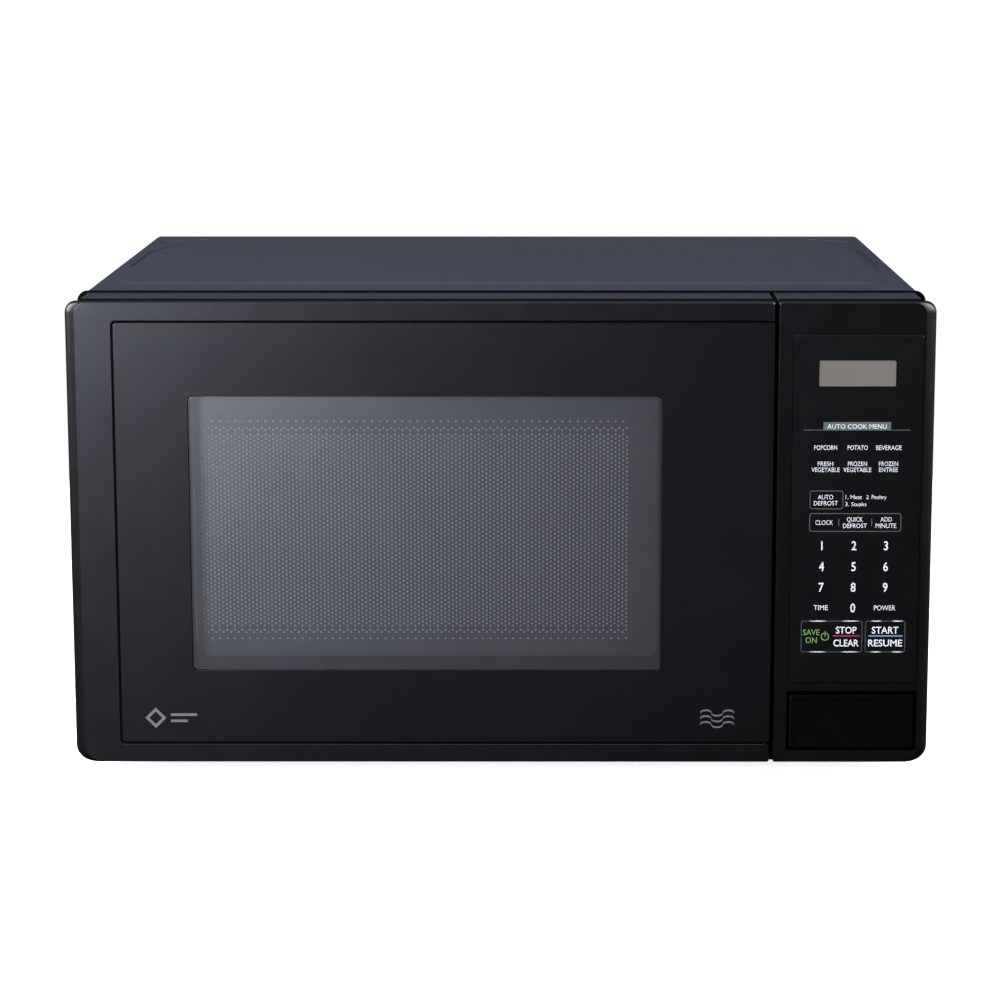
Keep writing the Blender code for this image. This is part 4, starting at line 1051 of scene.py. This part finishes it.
def cavity_liner():
    low, high = liner_low, liner_high
    wall, r = LINER_WALL, LINER_CORNER
    x0, x1, z0, z1 = low.x + wall, high.x - wall, low.z + wall, high.z - wall
    back = high.y - wall

    def outline(draw, grow=0.0):
        corner = max(r - draw + grow, 1.0 * MM)
        return even(x0 + draw - grow, x1 - draw + grow, z0 + draw - grow, z1 - draw + grow, corner)

    rings = [(outline(0), low.y)]
    for i in range(6):
        turn = math.radians(90 * i / 5)
        rings.append((outline(r * 0.6 * (1 - math.cos(turn))), back - r * 0.6 * (1 - math.sin(turn))))
    shell = loft(rings[::-1] + [(outline(0, wall), low.y), (outline(0, wall), high.y)])
    port = (x1 - MM, x1 + 2 * MM, 0.010, 0.080, 0.140, 0.190)
    slots = [(x0 - 2 * MM, x0 + MM, 0.040 + 0.0075 * i, 0.043 + 0.0075 * i, 0.185, 0.205) for i in range(8)]
    holes = bmesh.new()
    lamp_holes(x1 + MM, 4 * MM, holes)
    rod((TURN_X, TURN_Y, z0), "Z", 6.0 * MM, 4 * MM, 24, holes)
    shell = cut(cut(shell, cuboids([port] + slots)), holes)
    piece("cavity_liner", shell, LOOK["enamel"], OVEN, "cavity", slot="cavity_enamel")


TRAY_BASE = 0.0456
TRAY_STEPS = 96

# The tray's profile in millimetres: its underside as (radius, up), its outside as (in from the edge, up),
# and its rim as (in from the edge, down from the top)
TRAY_UNDER = ((0, 0), (26, 0), (27, 0.5), (29, 0.5), (30, 0), (70, 0), (71, 0.4), (73, 0.4), (74, 0))
TRAY_RISE = ((16, 0), (11, 0.5), (6, 2.4), (2.0, 5.6), (0.3, 7.6))
TRAY_RIM = ((0, 2.4), (0.4, 0.9), (1.4, 0), (2.8, 0.6), (6, 3.4), (11, 5.8))


def glass_tray():
    """The glass tray: flat middle, a ring step, a rising rim and pressed rings underneath."""
    radius = (tray_high.x - tray_low.x) / 2 / MM
    rim = (tray_high.z - TRAY_BASE) / MM
    profile = list(TRAY_UNDER)
    profile += [(radius - inward, height) for inward, height in TRAY_RISE]
    profile += [(radius - inward, rim - down) for inward, down in TRAY_RIM]
    profile += [(radius - 17, 4.2), (radius - 22, 4.0), (0, 4.0)]
    base = (TURN_X, TURN_Y, TRAY_BASE)
    bm = turned([(r * MM, h * MM) for r, h in profile], base, TRAY_STEPS)
    lugs = bmesh.new()
    for i in range(3):
        made = bmesh.ops.create_cube(lugs, size=1)["verts"]
        bmesh.ops.scale(lugs, vec=(9 * MM, 6 * MM, 6 * MM), verts=made)
        bmesh.ops.translate(lugs, vec=(17.5 * MM, 0, -2 * MM), verts=made)
        turn = Matrix.Rotation(math.radians(60 + 120 * i), 3, "Z")
        bmesh.ops.rotate(lugs, cent=(0, 0, 0), matrix=turn, verts=made)
    bmesh.ops.translate(lugs, vec=base, verts=lugs.verts)
    piece("turntable_glass", join(bm, lugs), LOOK["glass"], "tray", "glass_tray", slot="glass_clear")


# ---- the rest, from the frame's own shapes

SLOT_OF = {
    "black_plastic": "plastic_dark", "white_plastic": "plastic_white", "front_enamel": "cavity_enamel",
    "zinc": "steel", "laminate": "steel", "paint": "cabinet_paint", "rubber": "rubber", "mica": "mica",
    "copper": "copper", "board": "board_green", "bulb_glass": "glass_clear",
}

# Finish, body, how far the edges are rounded in millimetres, and the nodes
REFINED = (
    ("black_plastic", DOOR, 0.5, "choke_cover"),
    ("white_plastic", "latch", 0.4, "latch_bar"),
    ("front_enamel", OVEN, 0.15, "front_plate"),
    ("zinc", OVEN, 0.15, "base_plate"),
    ("paint", OVEN, 0.15, "rear_panel"),
    ("black_plastic", OVEN, 0.3, "cord_gland"),
    ("rubber", OVEN, 0.8, "foot_front_left foot_front_right foot_rear_left foot_rear_right"),
    ("zinc", OVEN, 0.3, "rear_screw_left rear_screw_right"),
    ("zinc", OVEN, 0.2, "upper_hinge_arm lower_hinge_arm upper_hinge_pin lower_hinge_pin waveguide"),
    ("mica", OVEN, 0.1, "waveguide_cover"),
    ("zinc", OVEN, 0.2, "magnetron"),
    ("laminate", OVEN, 0.3, "transformer_core"),
    ("copper", OVEN, 2.0, "transformer_primary transformer_secondary"),
    ("zinc", OVEN, 0.5, "hv_capacitor"),
    ("black_plastic", OVEN, 0.2, "hv_diode"),
    ("laminate", OVEN, 0.5, "fan_motor"),
    ("white_plastic", OVEN, 0.5, "fan_shroud"),
    ("white_plastic", "fan", 0.2, "fan_blade"),
    ("board", OVEN, 0.2, "control_board"),
    ("white_plastic", OVEN, 0.3, "display_module"),
    ("board", OVEN, 0.2, "line_filter_board"),
    ("white_plastic", OVEN, 0.4, "lamp_socket"),
    ("bulb_glass", OVEN, 0.1, "oven_lamp"),
    ("zinc", OVEN, 0.4, "turntable_motor"),
    ("white_plastic", "coupler", 0.5, "drive_coupler"),
    ("white_plastic", "ring", 0.5, "roller_ring"),
    *(("white_plastic", name, 0.5, name) for name in ("roller_1", "roller_2", "roller_3")),
    ("white_plastic", OVEN, 0.3, "latch_board"),
    ("white_plastic", "lever", 0.4, "release_lever"),
    ("black_plastic", OVEN, 0.3, "primary_switch secondary_switch monitor_switch"),
    ("white_plastic", "primary_plunger", 0.2, "primary_plunger"),
    ("white_plastic", "secondary_plunger", 0.2, "secondary_plunger"),
    ("white_plastic", "monitor_plunger", 0.2, "monitor_plunger"),
)


def springs():
    """The wire coils keep their CAD shape and get a steel finish."""
    for node in ("latch_spring", "button_spring"):
        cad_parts[node].data.materials.clear()
        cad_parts[node].data.materials.append(LOOK["zinc"])


# ---- stage, light and camera


ROOM_LIGHT = 0.02
FLOOR_BOUNCE = 0.02
FLOOR_GLOW = 0.8
BACKDROP = 1.05
FLOOR_RADIUS = 0.75


def pale_floor():
    """A white matt floor that throws little light back on the oven."""
    floor = Finish("pale_floor", (0.92, 0.92, 0.92), 0.9, Specular_IOR_Level=0.0)
    floor.set("Emission Color", (1, 1, 1, 1))
    floor.set("Emission Strength", FLOOR_GLOW)
    nodes, links = floor.nodes, floor.links
    dim = nodes.new("ShaderNodeBsdfDiffuse")
    dim.inputs["Color"].default_value = (FLOOR_BOUNCE, FLOOR_BOUNCE, FLOOR_BOUNCE, 1)
    seen = nodes.new("ShaderNodeLightPath").outputs["Is Camera Ray"]
    mix = nodes.new("ShaderNodeMixShader")
    links.new(seen, mix.inputs[0])
    links.new(dim.outputs["BSDF"], mix.inputs[1])
    links.new(floor.shader.outputs["BSDF"], mix.inputs[2])
    links.new(mix.outputs["Shader"], nodes["Material Output"].inputs["Surface"])
    return floor.material


def stage():
    floor = bmesh.new()
    bmesh.ops.create_circle(floor, cap_ends=True, segments=96, radius=FLOOR_RADIUS)
    mesh = bpy.data.meshes.new("floor")
    floor.to_mesh(mesh)
    floor.free()
    mesh.materials.append(pale_floor())
    obj = bpy.data.objects.new("floor", mesh)
    show(obj)
    world = bpy.data.worlds.new("studio")
    world.use_nodes = True
    nodes, links = world.node_tree.nodes, world.node_tree.links
    background = nodes["Background"]
    background.inputs["Color"].default_value = (1.0, 1.0, 1.0, 1)
    seen = nodes.new("ShaderNodeLightPath").outputs["Is Camera Ray"]
    strength = nodes.new("ShaderNodeMapRange")
    strength.inputs["To Min"].default_value = ROOM_LIGHT
    strength.inputs["To Max"].default_value = BACKDROP
    links.new(seen, strength.inputs["Value"])
    links.new(strength.outputs["Result"], background.inputs["Strength"])
    bpy.context.scene.world = world


def softbox(name, place, target, width, height, power, colour=(1, 1, 1)):
    light = bpy.data.lights.new(name, "AREA")
    light.shape = "RECTANGLE"
    light.size = width
    light.size_y = height
    light.energy = power
    light.color = colour
    obj = bpy.data.objects.new(name, light)
    obj.location = place
    obj.rotation_euler = (Vector(target) - Vector(place)).to_track_quat("-Z", "Y").to_euler()
    show(obj)


def distant(name, strength, angle, tilt, turn, colour=(1, 1, 1)):
    """Even light from far away: tilt leans it from straight down, and turn swings it about the vertical."""
    light = bpy.data.lights.new(name, "SUN")
    light.energy = strength
    light.angle = math.radians(angle)
    light.color = colour
    obj = bpy.data.objects.new(name, light)
    obj.rotation_euler = (math.radians(tilt), 0, math.radians(turn))
    show(obj)


def lights():
    key_place, key_target = (-0.709, -1.412, 0.436), (-0.05, FRONT, 0.13)
    softbox("key_left", key_place, key_target, 0.40, 0.40, 24.7, (0.79, 0.83, 1.0))
    softbox("low_back", (0.1, 2.0, 0.75), (0.0, 0.0, 0.25), 3.0, 1.4, 1.0, (0.50, 0.68, 1.0))
    softbox("right_edge", (1.0, -0.45, 0.70), (0.22, -0.14, 0.18), 0.5, 0.7, 16.0)
    softbox("left_edge", (-1.1, -0.30, 0.60), (-0.22, -0.14, 0.16), 0.5, 0.7, 20.0)
    distant("overhead", 1.30, 40, 20, -14, (0.84, 0.90, 1.0))
    distant("back", 0.10, 30, 50, 185, (0.8, 0.88, 1.0))
    distant("right", 0.8, 30, 78, 98)


def camera():
    data = bpy.data.cameras.new("camera")
    data.lens = 96.0
    data.sensor_width = 36
    data.shift_x = -0.031
    data.shift_y = -0.12
    data.clip_start = 0.05
    data.clip_end = 50
    obj = bpy.data.objects.new("camera", data)
    obj.location = (0.0181, -1.5387, 0.4391)
    obj.rotation_euler = (math.radians(90 - 9.19), 0, 0.0016)
    show(obj)
    bpy.context.scene.camera = obj


door_casing()
door_facia()
facia_painted_shade()
facia_marks()
window_pane()
screen()
control_panel()
keypad_print()
cabinet_shell()
front_shade_and_sheen()
cavity_liner()
glass_tray()
for look_name, body_name, round_mm, node_names in REFINED:
    for node_name in node_names.split():
        refine(node_name, look_name, body_name, round_mm * MM)
springs()
stage()
lights()
camera()
bpy.context.scene.view_settings.view_transform = "Standard"
